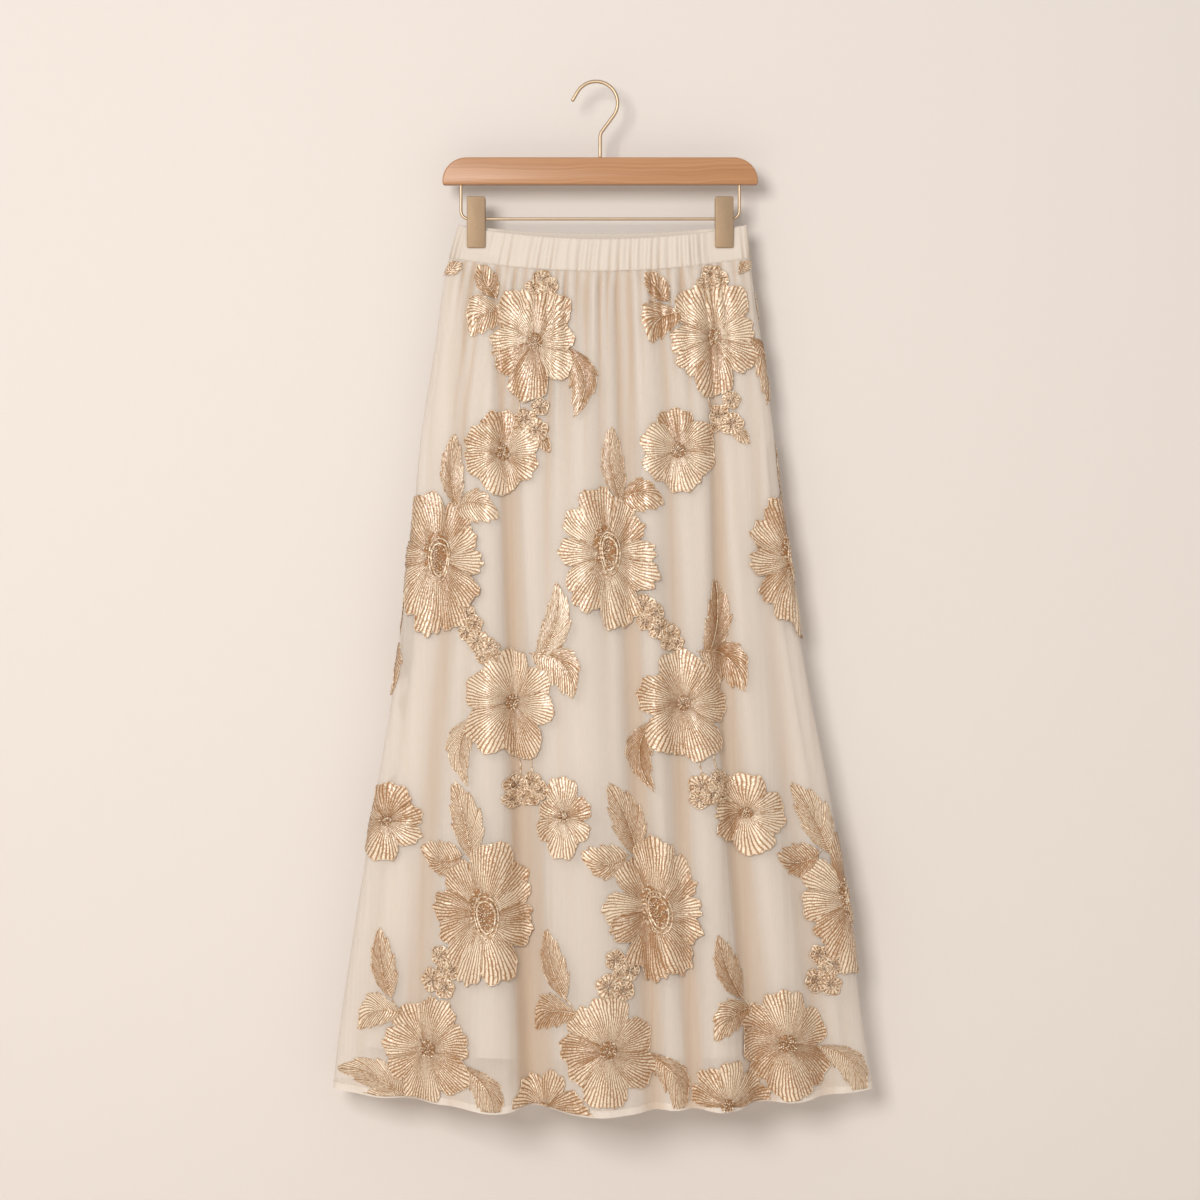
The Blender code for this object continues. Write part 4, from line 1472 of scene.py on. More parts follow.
# ---- embroidery
@dataclass
class Stitchwork:
    """Collects embroidery laid on the cloth: thread patches, cords and knots, in metres."""

    label: str
    ridge_steps: int = 3
    spot: Spot | None = None
    patches: list = field(default_factory=list)
    cords: list = field(default_factory=list)
    radii: list = field(default_factory=list)
    knots: list = field(default_factory=list)
    sizes: list = field(default_factory=list)

    def patch(self, place: tuple, out: Array, thread: tuple, tint: Array) -> None:
        """Add a grid of laid thread.

        Args:
            place: Grids of distances right and up.
            out: Grid of heights.
            thread: Grids of bundle counts and of distances along the thread.
            tint: How pale the thread is, from 0 to 1, with painted shade and highlights in it.
        """
        keep = self.spot.inside(*place)
        if keep.any():
            # Painted shade: thread lying in a fold of the cloth is darkened.
            shade = tint - 0.26 * self.spot.fold_shade(*place)
            self.patches.append((self.spot.lay(*place, out), np.stack(thread, axis=-1), shade, keep))

    def cord(self, place: tuple, out: Array, radius: float) -> None:
        """Add a cord along local points; only its stretches on the cloth are kept.

        Args:
            place: Distances right and up.
            out: Heights.
            radius: Radius in millimetres.
        """
        points = self.spot.lay(*place, out)
        held = np.concatenate([[False], self.spot.inside(*place), [False]])
        turns = np.flatnonzero(np.diff(held.astype(int)))
        for start, end in zip(turns[::2], turns[1::2]):
            if end - start > 2:
                self.cords.append(points[start:end])
                self.radii.append(radius * MM)

    def knot(self, place: tuple, out: float, radius: float) -> None:
        """Add one knot at a local point.

        Args:
            place: Distances right and up.
            out: Height.
            radius: Radius in millimetres.
        """
        place = tuple(np.array([float(value)]) for value in place)
        if self.spot.inside(*place)[0]:
            self.knots.append(self.spot.lay(*place, np.array([out])))
            self.sizes.append(radius * MM)

    def build(self, palette: Palette, trees: Trees) -> None:
        """Make the collected work into pieces.

        Args:
            palette: Materials.
            trees: Geometry node trees.
        """
        faces = []
        start = 0
        for grid, _, _, keep in self.patches:
            quads = grid_faces(*grid.shape[:2], start)
            faces.append(quads[keep.ravel()[quads - start].any(axis=1)])
            start += keep.size
        points, uv, tint = (np.concatenate([patch[part].reshape(-1, width) for patch in self.patches])
                            for part, width in enumerate((3, 2, 1)))
        faces = np.concatenate(faces).tolist()
        laid = mesh_object(f"laid_thread_{self.label}", points, faces, palette["laid"])
        write_uv(laid.data, uv)
        write_value(laid.data, "tint", tint.ravel())
        with editing(laid.data) as shape:
            loose = [point for point in shape.verts if not point.link_faces]
            bmesh.ops.delete(shape, geom=loose, context="VERTS")
        cords = path_object(f"cords_{self.label}", self.cords, radius=self.radii)
        trees.cords.apply(cords, Sides=5, Material=palette["cord"])
        knots = path_object(f"knots_{self.label}", self.knots, size=self.sizes)
        trees.knots.apply(knots, Seed=4, Material=palette["knot"])
        for item in (laid, cords, knots):
            finish_piece(item, "gold_thread")


class Petal(NamedTuple):
    """Petal by its direction (degrees from up, clockwise), reach in millimetres and half-angle."""

    turn: float
    reach: float
    spread: float


class Core(NamedTuple):
    """Half width and half height of a bloom's centre, and its turn in degrees."""

    width: float
    height: float
    turn: float = 0.0


class Blade(NamedTuple):
    """Leaf from its base to its tip, with its width and the share by which it bows to its right."""

    x: float
    z: float
    tip_x: float
    tip_z: float
    width: float
    bow: float


class Floret(NamedTuple):
    """Small looped floret."""

    x: float
    z: float
    size: float


class Stem(NamedTuple):
    """Thin cord between two places."""

    x: float
    z: float
    end_x: float
    end_z: float


class Motif(NamedTuple):
    """A bloom with all that is sewn round it, in millimetres right of and above its centre."""

    core: Core | None = None
    petals: tuple[Petal, ...] = ()
    blades: tuple[Blade, ...] = ()
    florets: tuple[Floret, ...] = ()
    stems: tuple[Stem, ...] = ()


class Kind(Enum):
    """Motifs of the embroidery, by row from the waist; the last three are cut off at an edge."""

    TALL = Motif(
        Core(8.5, 10),
        table(Petal, (-92, 48, 38), (-24, 60, 42), (-134, 50, 34), (26, 59, 40), (80, 42, 40), (136, 51, 33),
              (184, 64, 32)),
        table(Blade, (-46, 45, -67, 80, 24, -0.06), (-34, 31, -72, 3, 40, 0.22), (34, -4, 52, -77, 30, -0.20),
              (10, -98, 25, -120, 14, 0)),
        table(Floret, (3, 69, 19), (13, 63, 16), (-4, 61, 15), (11, -71, 16), (-4, -86, 20), (9, -97, 21),
              (-10, -97, 12)),
        table(Stem, (-15, -58, -11, -80), (6, -60, 10, -70)))
    ROUND = Motif(
        Core(8, 9),
        table(Petal, (-2, 45, 48), (118, 41, 47), (-122, 41, 47), (58, 41, 47), (178, 45, 46), (-62, 41, 47)))
    OVAL = Motif(
        Core(14, 31, 3),
        table(Petal, (22, 66, 25), (-44, 58, 29), (56, 52, 26), (-10, 71, 26), (90, 53, 26), (-136, 54, 29),
              (156, 78, 22), (-90, 49, 29), (-160, 66, 23), (127, 63, 25), (176, 82, 18)),
        table(Blade, (18, 58, 8, 136, 25, -0.06), (16, 56, 64, 54, 36, -0.22)),
        table(Floret, (42, -58, 20), (52, -66, 17), (44, -76, 15), (58, -84, 20), (70, -90, 18),
              (77, -100, 14), (66, -100, 13)),
        table(Stem, (12, 46, 19, 64)))
    WIDE = Motif(
        Core(7.5, 9.5),
        table(Petal, (48, 50, 36), (-68, 50, 44), (100, 47, 38), (-4, 57, 42), (-145, 58, 46), (160, 62, 34)),
        table(Blade, (27, 48, 46, 130, 30, 0.10), (22, 56, 68, 12, 40, -0.24),
              (-33, -16, -44, -89, 29, 0.20)),
        table(Floret, (10, -90, 22), (20, -100, 18), (7, -104, 17), (29, -85, 18), (38, -93, 18),
              (31, -102, 14)),
        table(Stem, (11, -60, 13, -80), (26, -55, 30, -78)))
    SMALL = Motif(
        Core(5.5, 6.5),
        table(Petal, (64, 31, 44), (-70, 27, 46), (0, 42, 40), (124, 33, 36), (-132, 33, 42), (178, 44, 36)))
    LEANING = Motif(
        Core(15, 30, 12),
        table(Petal, (30, 63, 25), (-38, 64, 28), (58, 53, 25), (2, 78, 27), (92, 49, 26), (-78, 57, 30),
              (122, 55, 26), (-120, 53, 28), (156, 72, 24), (-150, 62, 22), (-172, 74, 20)),
        table(Blade, (-18, 60, -45, 137, 36, 0.03), (-30, 62, -78, 64, 36, -0.20)),
        table(Floret, (-46, -49, 18), (-31, -62, 18), (-54, -77, 22), (-38, -83, 19), (-42, -64, 13)),
        table(Stem, (-12, 46, -19, 64)))
    BROAD = Motif(
        Core(9.5, 10.5),
        table(Petal, (-44, 53, 34), (66, 48, 44), (4, 56, 40), (-130, 49, 34), (132, 57, 36), (-86, 49, 36),
              (184, 60, 38)),
        table(Blade, (-46, 53, -67, 122, 28, -0.06), (-34, 38, -80, 16, 35, 0.20),
              (38, -10, 78, -78, 30, -0.24)),
        stems=table(Stem, (-33, 35, -47, 56)))
    HALF = Motif(
        Core(7, 8),
        table(Petal, (-66, 36, 30), (-24, 41, 30), (20, 46, 28), (58, 46, 26), (88, 52, 18)))
    CRESCENT = Motif(blades=table(Blade, (44, -16, -38, 14, 34, 0.14), (40, -18, -10, -14, 22, 0.1)))
    TIP = Motif(blades=table(Blade, (-6, -12, 6, 12, 14, 0.1)))


@dataclass
class Sewing:
    """Sews one motif at one place."""

    work: Stitchwork
    seed: int
    wide: float = 1.0
    tall: float = 1.0
    cord_radius: float = 0.5
    ring_from: float = 15.0

    def sew(self, motif: Motif) -> None:
        """Sew all of a motif, from what lies lowest to what lies on top.

        Args:
            motif: The motif.
        """
        self.rng = np.random.default_rng(self.seed)
        for blade in motif.blades:
            self._blade(blade)
        for stem in motif.stems:
            self._stem(stem)
        for floret in motif.florets:
            self._floret(floret)
        for index, petal in enumerate(motif.petals):
            self._petal(petal, motif.core, 0.4 + min(0.28 * index, 2.2))
        if motif.core:
            self._core(motif.core)

    def _petal(self, petal: Petal, core: Core, lift: float) -> None:
        """Sew one petal: bundles of thread from the centre to a scalloped edge, ringed with cord.

        Args:
            petal: Its direction and size.
            core: The bloom's centre.
            lift: How far it lies over the cloth.
        """
        rng = self.rng
        ridges = int(np.clip(round(petal.reach * radians(petal.spread) / 2.1), 7, 19))
        steps = self.work.ridge_steps * ridges + 1
        u, v = np.meshgrid(np.linspace(-1.0, 1.0, steps), np.linspace(0.0, 1.0, 9))
        lobes = rng.integers(2, 5)
        scallop = 0.034 * np.cos(lobes * pi * u + rng.uniform(0.0, 6.28)) + 0.034 * np.abs(
            np.sin(pi * ridges / 4.0 * (u + 1.0) + rng.uniform(0.0, 3.0)))
        rim = petal.reach * (1.0 - 0.42 * np.abs(u) ** 3.0 + scallop)
        sway = radians(rng.uniform(-7.0, 7.0))
        turn = radians(petal.turn)
        angle = turn + radians(petal.spread) * u * (1.0 - 0.06 * v) + sway * v * v
        lean = angle + radians(core.turn)
        start = 0.62 / np.hypot(np.sin(lean) / core.width, np.cos(lean) / core.height)
        radius = start + (rim - start) * v
        right = self.wide * radius * np.sin(angle)
        up = self.tall * radius * np.cos(angle)
        edge = (1.0 - u ** 8) * (1.0 - 0.8 * v ** 6)
        dome = rng.uniform(0.9, 1.7) * np.sin(pi * (0.05 + 0.88 * v)) * (1.0 - 0.5 * u ** 2)
        wave = 0.5 * np.cos(lobes * pi * u + 1.0) * v
        ridge = 0.24 * (0.5 - 0.5 * np.cos(pi * ridges * (u + 1.0)))
        out = lift + (dome + wave + rng.uniform(-0.6, 0.6) * u * v + ridge * (0.45 + 0.55 * v)) * edge
        out = np.maximum(out, 0.15)
        bundle = ridges * (u + 1.0) / 2.0 + 40.0 * rng.integers(0, 50)
        along = v * petal.reach + 7.0 * rng.integers(0, 30)
        # Random paleness per petal, partly the thread's tone and partly painted light and shade on whole
        # petals; darker towards the core, with painted shade at the side edges where petals meet and a slow
        # random wave.
        tint = rng.uniform(0.24, 0.94) - 0.24 * (1.0 - v) ** 2 - 0.55 * np.abs(u) ** 5 + 0.16 * np.cos(
            TURN * (0.8 * u + v) + rng.uniform(0.0, 6.28))
        self.work.patch((right, up), out, (bundle, along), tint)
        *place, height = (np.concatenate([grid[3:, 0], grid[-1, 2:-2:2], grid[:2:-1, -1]])
                          for grid in (right, up, out))
        self.work.cord(place, height + 0.2, self.cord_radius)

    def _core(self, core: Core) -> None:
        """Fill the centre with knots over a dark patch that paints the shade between them; a large one is
        ringed with cord.

        Args:
            core: The centre's size.
        """
        rng = self.rng
        turn = radians(core.turn)
        angle, share = np.meshgrid(np.linspace(0.0, TURN, 33), np.linspace(1.0, 0.0, 6))

        def place(around: Array, scale: Array) -> tuple:
            """Place a point of the centre.

            Args:
                around: Angle round the centre.
                scale: Share of its size.

            Returns:
                Distances right and up.
            """
            x = self.wide * core.width * scale * np.cos(around)
            y = self.tall * core.height * scale * np.sin(around)
            return x * cos(turn) - y * sin(turn), x * sin(turn) + y * cos(turn)

        floor = 1.9 + 0.9 * (1.0 - share ** 4)
        thread = (angle * 4.0, share * 20.0)
        # The dark patch under the knots paints the shade in the gaps between them.
        self.work.patch(place(angle, share), floor, thread, np.full(angle.shape, -0.5))
        count = int(12 + core.width * core.height * self.wide * self.tall / 2.0)
        for index in range(count):
            out = sqrt((index + 0.5) / count)
            where = place(index * GOLDEN_ANGLE + rng.uniform(-0.25, 0.25), out)
            height = 3.1 - 0.9 * out ** 4 + rng.uniform(-0.3, 0.4)
            self.work.knot(where, height, rng.uniform(0.85, 1.35))
        if core.height > self.ring_from:
            for scale, radius in ((0.58, 1.4), (0.76, 1.0)):
                x, y = place(angle[0], scale + 0.03 * np.sin(3.0 * angle[0]))
                self.work.cord((x + 0.28 * core.width, y), np.full(33, 3.6), radius)

    def _blade(self, blade: Blade) -> None:
        """Sew one leaf: slanting thread on both sides of a corded rib.

        Args:
            blade: Its place and size.
        """
        rng = self.rng
        tint = rng.uniform(0.22, 0.80)
        run = np.array([blade.tip_x - blade.x, blade.tip_z - blade.z])
        length = float(np.hypot(*run))
        ahead = run / length
        ridges = int(max(7, length / 3.6))

        def place(along: Array, beside: Array) -> tuple:
            """Place a point of the leaf.

            Args:
                along: Share of the way along the bowed rib.
                beside: Distance to its right.

            Returns:
                Distances right and up.
            """
            side = 4.0 * blade.bow * length * along * (1.0 - along) + beside
            return (self.wide * (blade.x + ahead[0] * along * length + ahead[1] * side),
                    self.tall * (blade.z + ahead[1] * along * length - ahead[0] * side))

        steps = self.work.ridge_steps * ridges + 1
        teeth = 0.08 * rng.integers(-1, 2) + 3.4
        for hand in (-1.0, 1.0):
            s, t = np.meshgrid(np.linspace(0.0, 1.0, 9), np.linspace(0.0, 1.0, steps))
            edge_along = 0.16 + 0.86 * t
            shape = np.sin(pi * np.clip(edge_along, 0.0, 1.0) ** 0.85) ** 0.70 + 0.02
            tooth = (teeth * t + 0.3 * hand) % 1.0
            half = blade.width / 2.0 * shape * (0.90 + 0.19 * tooth ** 1.3) * (1.0 + 0.12 * hand)
            along = 0.62 * t + (edge_along + 0.05 * tooth - 0.62 * t) * s ** 1.4
            ridge = 0.16 * (0.5 - 0.5 * np.cos(TURN * ridges * t))
            out = 0.3 + (1.2 * np.sin(pi * (0.15 + 0.75 * s)) + ridge * (0.3 + 0.7 * s)) * (
                1.0 - 0.8 * s ** 6) * (0.35 + 0.65 * shape)
            # Paleness per leaf: random, one half paler as painted light, with painted shade along the rib and
            # in the notches between teeth.
            grids = [*place(along, hand * half * s ** 0.9), out, ridges * t + rng.integers(0, 999),
                     length * 0.3 * s + 7.0 * rng.integers(0, 30),
                     tint + 0.12 * hand - 0.35 * (1.0 - s) ** 3 - 0.22 * (1.0 - tooth) ** 4]
            if hand < 0.0:
                grids = [grid[:, ::-1] for grid in grids]
            self.work.patch(tuple(grids[:2]), grids[2], tuple(grids[3:5]), grids[5])
            *rim, height = (grid[::2, -1 if hand > 0.0 else 0] for grid in grids[:3])
            self.work.cord(rim, height + 0.15, self.cord_radius)
        rib = place(np.linspace(-0.05, 1.02, 20), np.zeros(20))
        self.work.cord(rib, np.full(20, 1.5), 0.6)

    def _floret(self, floret: Floret) -> None:
        """Sew one floret: five ridged petals, a looped outline and a knotted eye.

        Args:
            floret: Its place and size.
        """
        rng = self.rng
        start = rng.uniform(0.0, 6.28)
        half = floret.size * 0.58
        x, z = self.wide * floret.x, self.tall * floret.z
        for index in range(5):
            u, v = np.meshgrid(np.linspace(-1.0, 1.0, 11), np.linspace(0.0, 1.0, 5))
            radius = 0.8 + (half * rng.uniform(0.9, 1.1) * (1.0 - 0.2 * u ** 2) - 0.8) * v
            angle = start + index * (TURN / 5.0) + 0.64 * u * (0.7 + 0.3 * v)
            ridge = 0.3 * (0.5 - 0.5 * np.cos(3.0 * pi * (u + 1.0)))
            out = 0.8 + (1.1 * np.sin(pi * (0.1 + 0.8 * v)) + ridge) * (1.0 - u ** 6)
            place = (x + radius * np.sin(angle), z + radius * np.cos(angle))
            # Random paleness per petal, darker towards the eye, with painted shade at the sides where petals
            # meet.
            tint = rng.uniform(0.5, 1.0)
            thread = (1.5 * (u + 1.0) + 9.0 * rng.integers(0, 90), v * half)
            self.work.patch(place, out, thread, tint - 0.4 * (1.0 - v) - 0.4 * u ** 4)
        turn = np.linspace(0.0, TURN, 26)
        for scale, height, radius in ((0.95, 1.4, 0.9), (0.52, 2.2, 0.7)):
            loop = half * scale * (0.90 + 0.22 * np.abs(np.cos(2.5 * (turn - start))))
            place = (x + loop * np.sin(turn), z + loop * np.cos(turn))
            self.work.cord(place, height + 0.6 * np.cos(5.0 * turn), radius)
        for index in range(9):
            angle = index * 2.4 + start
            reach = half * sqrt(index / 14.0)
            place = (x + reach * sin(angle), z + reach * cos(angle))
            self.work.knot(place, 2.2, rng.uniform(0.7, 1.2))

    def _stem(self, stem: Stem) -> None:
        """Sew one stem.

        Args:
            stem: Its two ends.
        """
        share = np.linspace(0.0, 1.0, 10)
        sway = 1.6 * np.sin(pi * share) * self.rng.choice((-1.0, 1.0))
        place = (self.wide * (stem.x + (stem.end_x - stem.x) * share + sway),
                 self.tall * (stem.z + (stem.end_z - stem.z) * share))
        self.work.cord(place, np.full(10, 0.8), 0.75)


class Sprig(NamedTuple):
    """A motif by its centre as seen on the hanger's plane, and how much wider and taller it is."""

    kind: Kind
    x: float
    z: float
    wide: float = 1.0
    tall: float = 1.0


@dataclass
class Embroidery:
    """All the sprigs, laid on the front as shown and on the back to match."""

    drape: Drape
    studio: Studio
    repeat: float = 196.5
    row_length: int = 3
    lower_from: float = -760.0
    back_seed: int = 40
    sprigs: tuple[Sprig, ...] = table(
        Sprig, (Kind.TIP, -160, -203), (Kind.TIP, 163, -197),
        (Kind.TALL, -67.7, -286), (Kind.TALL, 130.9, -281.6),
        (Kind.ROUND, -104, -411.6), (Kind.ROUND, 91.5, -409),
        (Kind.OVAL, -178, -529), (Kind.OVAL, 10, -522.6), (Kind.OVAL, 221, -529),
        (Kind.TIP, -229, -673, 0.3, 0.5), (Kind.WIDE, -92.7, -687.3), (Kind.WIDE, 97.7, -686.9),
        (Kind.SMALL, -233, -820, 1.33, 0.96), (Kind.SMALL, -36, -813.3),
        (Kind.SMALL, 166.5, -808, 1.35, 1),
        (Kind.LEANING, -126, -926), (Kind.LEANING, 65.5, -920.5), (Kind.LEANING, 279, -912),
        (Kind.BROAD, -185.6, -1071.8), (Kind.BROAD, 12.8, -1075.9), (Kind.BROAD, 213, -1066),
        (Kind.CRESCENT, -250, -1113), (Kind.HALF, -56.6, -1139), (Kind.HALF, 146.5, -1136))
    back_starts: tuple[Sprig, ...] = table(
        Sprig, (Kind.TALL, -90, -283), (Kind.ROUND, -128, -410), (Kind.OVAL, -90, -526),
        (Kind.WIDE, -170, -687), (Kind.SMALL, -196, -814, 1.2), (Kind.LEANING, -90, -922),
        (Kind.BROAD, -150, -1066), (Kind.HALF, -60, -1127))
    back_ends: tuple[float, ...] = (125, 148, 119, 188, 216, 177, 200, 200)

    def find(self, side: Side, x: float, z: float) -> Spot:
        """Find the place on a panel that lies at x, z on the hanger's plane as the camera sees it.

        Args:
            side: Which panel; the back is found as if seen through the front.
            x: Distance right.
            z: Height.

        Returns:
            The spot.
        """
        seen = self.studio.seen_at(self.drape.points[side])
        miss = np.hypot(seen[..., 0] - x, seen[..., 1] - z)
        row, column = np.unravel_index(np.argmin(miss), miss.shape)
        down = self.drape.downs[row]
        if row == self.drape.rows - 1:
            down += (seen[row, column, 1] - z) / self.drape.form.height
        return Spot(self.drape, side, float(self.drape.shares[column]), float(down))

    def build(self, palette: Palette, trees: Trees) -> None:
        """Sew the front and the back.

        Args:
            palette: Materials.
            trees: Geometry node trees.
        """
        upper, lower, behind = Stitchwork("front_upper"), Stitchwork("front_lower"), Stitchwork("back", 2)
        for seed, sprig in enumerate(self.sprigs):
            self._sew(sprig, Side.FRONT, upper if sprig.z > self.lower_from else lower, seed)
        for index, (first, end) in enumerate(zip(self.back_starts, self.back_ends)):
            for step in range(self.row_length):
                sprig = first._replace(x=first.x + self.repeat * step)
                if sprig.x < end:
                    self._sew(sprig, Side.BACK, behind, self.back_seed + self.row_length * index + step)
        for work in (upper, lower, behind):
            work.build(palette, trees)

    def _sew(self, sprig: Sprig, side: Side, work: Stitchwork, seed: int) -> None:
        """Sew one sprig with a seed of its own."""
        work.spot = self.find(side, sprig.x, sprig.z)
        Sewing(work, seed, sprig.wide, sprig.tall).sew(sprig.kind.value)


# ---- hanger
def arc(centre: tuple[float, float], radius: float, start: float, end: float, steps: int) -> list:
    """Points of an arc in the XZ plane, by angles in degrees from +X towards +Z."""
    angles = np.radians(np.linspace(start, end, steps + 1))
    return [(centre[0] + radius * cos(a), centre[1] + radius * sin(a)) for a in angles]


def hard_piece(name: str, mesh: bpy.types.Mesh, material: Material, angle: float) -> Piece:
    """Make a smooth piece that keeps its sharp edges.

    Args:
        name: Name of the piece.
        mesh: Its mesh.
        material: Its material.
        angle: Angle in degrees over which an edge stays sharp.

    Returns:
        The linked object.
    """
    mesh.shade_smooth()
    mesh.set_sharp_from_angle(angle=radians(angle))
    mesh.materials.clear()
    mesh.materials.append(material)
    return link(name, mesh)


def round_wire(name: str, route: list, diameter: float, material: Material, domed: bool = False) -> Piece:
    """Make a round wire along a route of X and Z, or X, Y and Z, in millimetres.

    Args:
        name: Name of the piece.
        route: Its centre line.
        diameter: Its diameter.
        material: Its material.
        domed: Whether its ends are domed.

    Returns:
        The wire as a mesh.
    """
    points = [(place[0], 0.0, place[1]) if len(place) == 2 else place for place in route]
    points, radii = dome_ends(points, diameter / 2.0) if domed else (points, [1.0] * len(points))
    curve = bpy.data.curves.new(name, "CURVE")
    curve.dimensions = "3D"
    curve.bevel_depth = diameter / 2.0 * MM
    curve.bevel_resolution = 5
    curve.use_fill_caps = True
    spline = curve.splines.new("POLY")
    spline.points.add(len(points) - 1)
    for point, place, radius in zip(spline.points, points, radii):
        point.co = (*(value * MM for value in place), 1.0)
        point.radius = radius
    holder = link(name, curve)
    mesh = bpy.data.meshes.new_from_object(holder.evaluated_get(bpy.context.evaluated_depsgraph_get()))
    bpy.data.objects.remove(holder)
    with editing(mesh) as shape:
        bmesh.ops.remove_doubles(shape, verts=shape.verts, dist=1e-6)
        bmesh.ops.recalc_face_normals(shape, faces=shape.faces)
    return hard_piece(name, mesh, material, 50.0)


def dome_ends(points: list, radius: float) -> tuple[list, list]:
    """Shrink a wire's last stretch at each end to a dome.

    Args:
        points: Centre line in millimetres.
        radius: Wire's radius.

    Returns:
        Points and the share of the radius at each.
    """
    route = [Vector(point) for point in points]
    radii = [1.0] * len(route)
    for _ in range(2):
        ahead = (route[-1] - route[-2]).normalized()
        tip = route[-1].copy()
        route[-1] = tip - ahead * radius
        for turn in map(radians, (15.0, 35.0, 55.0, 75.0)):
            route.append(tip - ahead * radius * (1.0 - sin(turn)))
            radii.append(cos(turn))
        route.reverse()
        radii.reverse()
    return [tuple(place) for place in route], radii


def solid_plate(name: str, outline: list, thickness: float, bevel: float, segments: int,
                material: Material) -> Piece:
    """Make a standing plate from an outline of X and Z in millimetres, centred on y = 0.

    Args:
        name: Name of the piece.
        outline: Its corners in order.
        thickness: Its thickness.
        bevel: Width of its rounded edges.
        segments: Steps of the rounding.
        material: Its material.

    Returns:
        The plate.
    """
    mesh = bpy.data.meshes.new(name)
    with editing(mesh) as shape:
        front = [shape.verts.new((x * MM, -thickness / 2.0 * MM, z * MM)) for x, z in outline]
        pushed = bmesh.ops.extrude_face_region(shape, geom=[shape.faces.new(front)])
        moved = [part for part in pushed["geom"] if isinstance(part, bmesh.types.BMVert)]
        bmesh.ops.translate(shape, verts=moved, vec=(0.0, thickness * MM, 0.0))
        bmesh.ops.recalc_face_normals(shape, faces=shape.faces)
        sharp = [edge for edge in shape.edges if edge.calc_face_angle(0.0) > radians(50.0)]
        bmesh.ops.bevel(shape, geom=sharp, offset=bevel * MM, segments=segments, profile=0.5, affect="EDGES")
    return hard_piece(name, mesh, material, 35.0)


@dataclass
class Hanger:
    """Wooden bar, wire hook and rod, in millimetres."""

    palette: Palette
    x: float = HANGER_X
    bar_length: float = 349.6
    bar_top: float = 83.0
    bar_height: float = 30.0
    bar_thickness: float = 13.0
    bar_edge: float = 1.6
    shoulder: tuple[float, float] = (27.0, 26.0)
    foot: float = 2.0
    hook_wire: float = 4.0
    hook_radius: float = 24.0
    tip_angle: float = 150.0
    neck_angle: float = -36.4
    tip_length: float = 11.8
    bend_radius: float = 11.0
    stem_depth: float = 0.5
    rod_wire: float = 3.3
    half_span: float = 154.5
    rod_bend: float = 9.0
    rod_depth: float = 0.4

    def build(self) -> None:
        """Build the bar, hook and rod."""
        self._bar()
        self._hook()
        self._rod()

    def _bar(self) -> None:
        """Build the bar: flat below, with broad rounded shoulders."""
        half = self.bar_length / 2.0
        wide, tall = self.shoulder
        low = -self.bar_top - self.bar_height
        right = [(half - self.foot, low), (half - self.foot * 0.3, low + self.foot * 0.3),
                 (half, low + self.foot)]
        for angle in np.radians(np.linspace(0.0, 90.0, 19)):
            right.append((half - wide + wide * cos(angle),
                          -self.bar_top - tall + tall * sin(angle)))
        outline = [(self.x + x, z) for x, z in right + [(-x, z) for x, z in reversed(right)]]
        bar = solid_plate("bar", outline, self.bar_thickness, self.bar_edge, 4, self.palette["wood"])
        finish_piece(bar, "wood", "hanger_bar")

    def _hook(self) -> None:
        """Build the hook: straight tip, open arc, slanting neck and stem."""
        centre = (0.0, self.hook_wire / 2.0 - self.hook_radius)
        bow = arc(centre, self.hook_radius, self.tip_angle, self.neck_angle, 48)
        tip_turn = radians(self.tip_angle)
        tip = (bow[0][0] - self.tip_length * sin(tip_turn),
               bow[0][1] + self.tip_length * cos(tip_turn))
        slant = radians(self.neck_angle)
        neck = (sin(slant), -cos(slant))
        reach = self.bend_radius * (1.0 - cos(slant))
        length = (bow[-1][0] - self.x - reach) / -neck[0]
        bend_centre = (self.x + self.bend_radius,
                       bow[-1][1] + neck[1] * length + self.bend_radius * sin(slant))
        bend = arc(bend_centre, self.bend_radius, 180.0 + self.neck_angle, 180.0, 10)
        route = [tip] + bow + bend + [(self.x, -self.bar_top - self.stem_depth)]
        hook = round_wire("hook", route, self.hook_wire, self.palette["wire"], domed=True)
        finish_piece(hook, "hook_metal", "hanger_hook")

    def _rod(self) -> None:
        """Build the U-shaped wire under the bar."""
        left, right = self.x - self.half_span, self.x + self.half_span
        start = -self.bar_top - self.bar_height + self.rod_depth
        bend = -ROD_DEPTH + self.rod_bend
        route = ([(left, start)] + arc((left + self.rod_bend, bend), self.rod_bend, 180.0, 270.0, 12)
                 + arc((right - self.rod_bend, bend), self.rod_bend, 270.0, 360.0, 12) + [(right, start)])
        rod = round_wire("rod", route, self.rod_wire, self.palette["wire"])
        finish_piece(rod, "hook_metal", "hanger_rod")


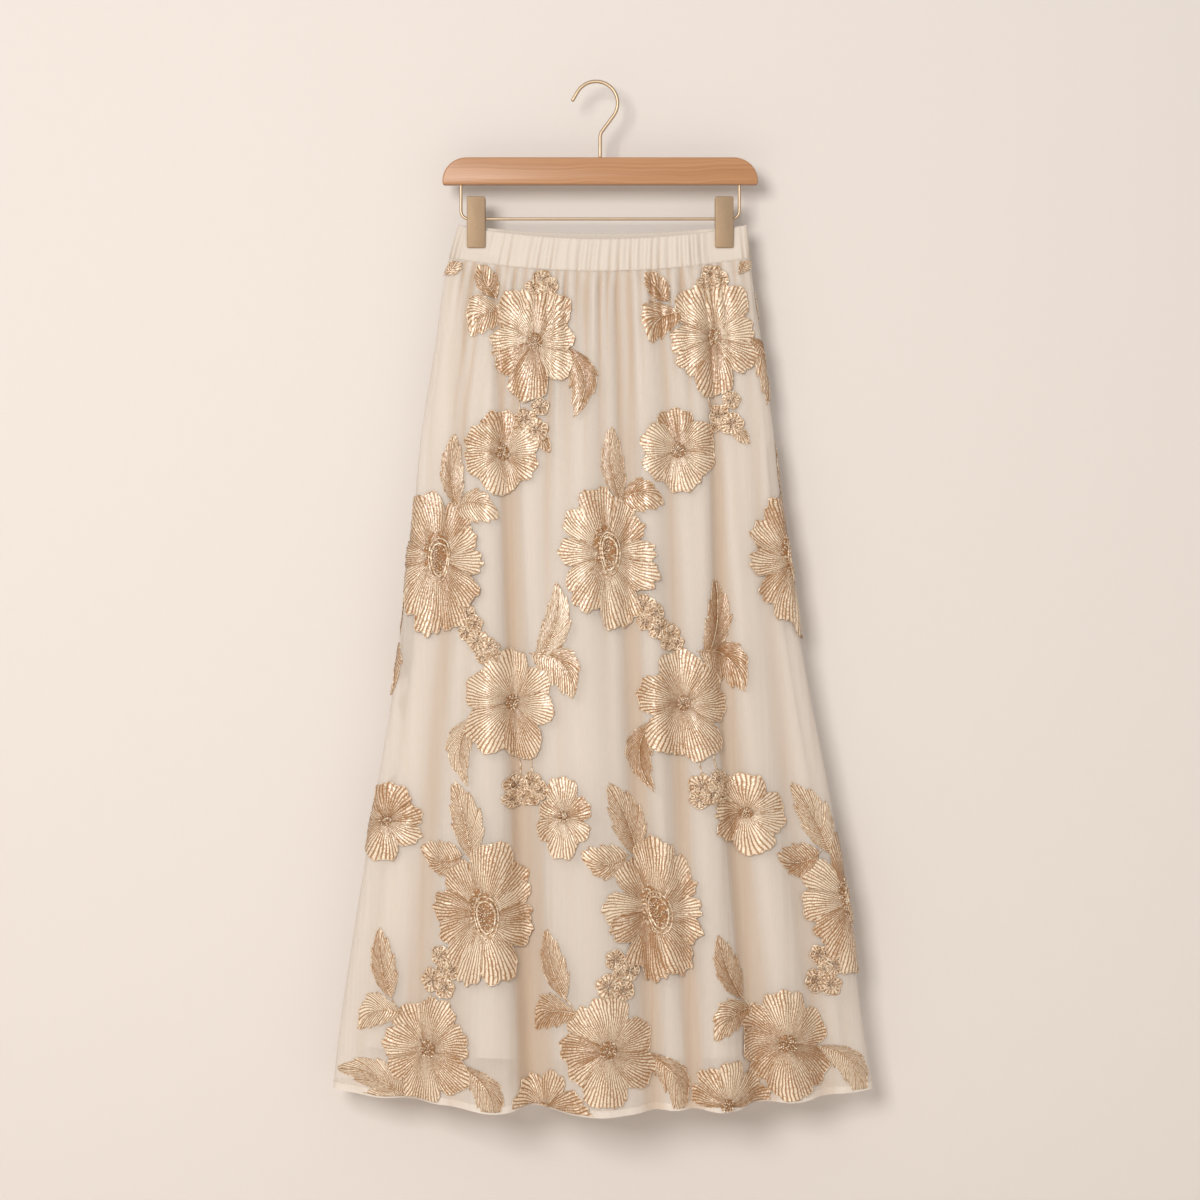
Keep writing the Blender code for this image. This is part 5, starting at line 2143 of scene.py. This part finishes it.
@dataclass
class Clip:
    """Spring clip: two leaning plates with folded rims, and a coiled spring round the rod."""

    label: str
    x: float
    palette: Palette
    top: float = 126.4
    width: float = 20.4
    height: float = 56.9
    thickness: float = 2.4
    corner: float = 1.8
    edge: float = 0.75
    jaw: float = 3.05
    at_rod: float = 4.7
    spring_length: float = 14.0
    spring_radius: float = 4.4
    spring_wire: float = 1.1
    spring_gap: float = 0.15
    spring_turns: int = 11
    turn_steps: int = 18

    def build(self) -> None:
        """Build both plates and the spring."""
        for side in Side:
            self._plate(side)
        self._spring()

    def _plate(self, side: Side) -> None:
        """Build one plate, leaning from the pinched band out past the spring.

        Args:
            side: Which plate.
        """
        half, tall = self.width / 2.0 - self.corner, self.height / 2.0 - self.corner
        outline = []
        for x, z, start in ((half, tall, 0), (-half, tall, 90), (-half, -tall, 180), (half, -tall, 270)):
            outline += arc((x, z), self.corner, start, start + 90, 6)
        plate = solid_plate(f"{self.label}_{side.label}_plate", outline, self.thickness, self.edge, 3,
                            self.palette["clip"])
        lean = atan2(self.at_rod - self.jaw, self.top + self.height - ROD_DEPTH)
        middle = self.jaw + sin(lean) * self.height / 2.0 + self.thickness / 2.0
        turn = -side.value * lean
        points = np.empty(len(plate.data.vertices) * 3)
        plate.data.vertices.foreach_get("co", points)
        x, y, z = points.reshape(-1, 3).T
        placed = (x + self.x * MM, y * cos(turn) - z * sin(turn) + side.value * middle * MM,
                  y * sin(turn) + z * cos(turn) - (self.top + self.height / 2.0) * MM)
        plate.data.vertices.foreach_set("co", np.stack(placed, axis=1).ravel())
        plate.data.update()
        finish_piece(plate, "clip_metal", f"{self.label}_{side.label}")

    def _spring(self) -> None:
        """Build the coil round the rod."""
        radius = self.spring_radius - self.spring_wire / 2.0 - self.spring_gap
        turn = np.linspace(0.0, TURN * self.spring_turns, self.turn_steps * self.spring_turns + 1)
        along = np.linspace(-0.5, 0.5, len(turn)) * (self.spring_length - self.spring_wire)
        route = [(self.x + a, radius * sin(t), -ROD_DEPTH + radius * cos(t))
                 for a, t in zip(along, turn)]
        coil = round_wire(f"{self.label}_coil", route, self.spring_wire, self.palette["wire"])
        finish_piece(coil, "hook_metal", f"{self.label}_spring")


# ---- assembly
def main() -> None:
    """Build every piece in order."""
    logging.basicConfig(level=logging.INFO, format="%(message)s")
    palette = make_palette()
    trees = Trees()
    studio = Studio(palette)
    studio.camera()
    studio.light()
    studio.stage()
    form = ClothForm()
    drape = Drape(form)
    Hanger(palette).build()
    for hand, label in ((-1, "clip_left"), (1, "clip_right")):
        Clip(label, HANGER_X + hand * CLIP_OFFSET, palette).build()
    Waistband(form, palette, trees).build()
    Lining(form, palette).build()
    OuterSkirt(drape, palette, trees).build()
    Embroidery(drape, studio).build(palette, trees)


if __name__ == "__main__":
    main()
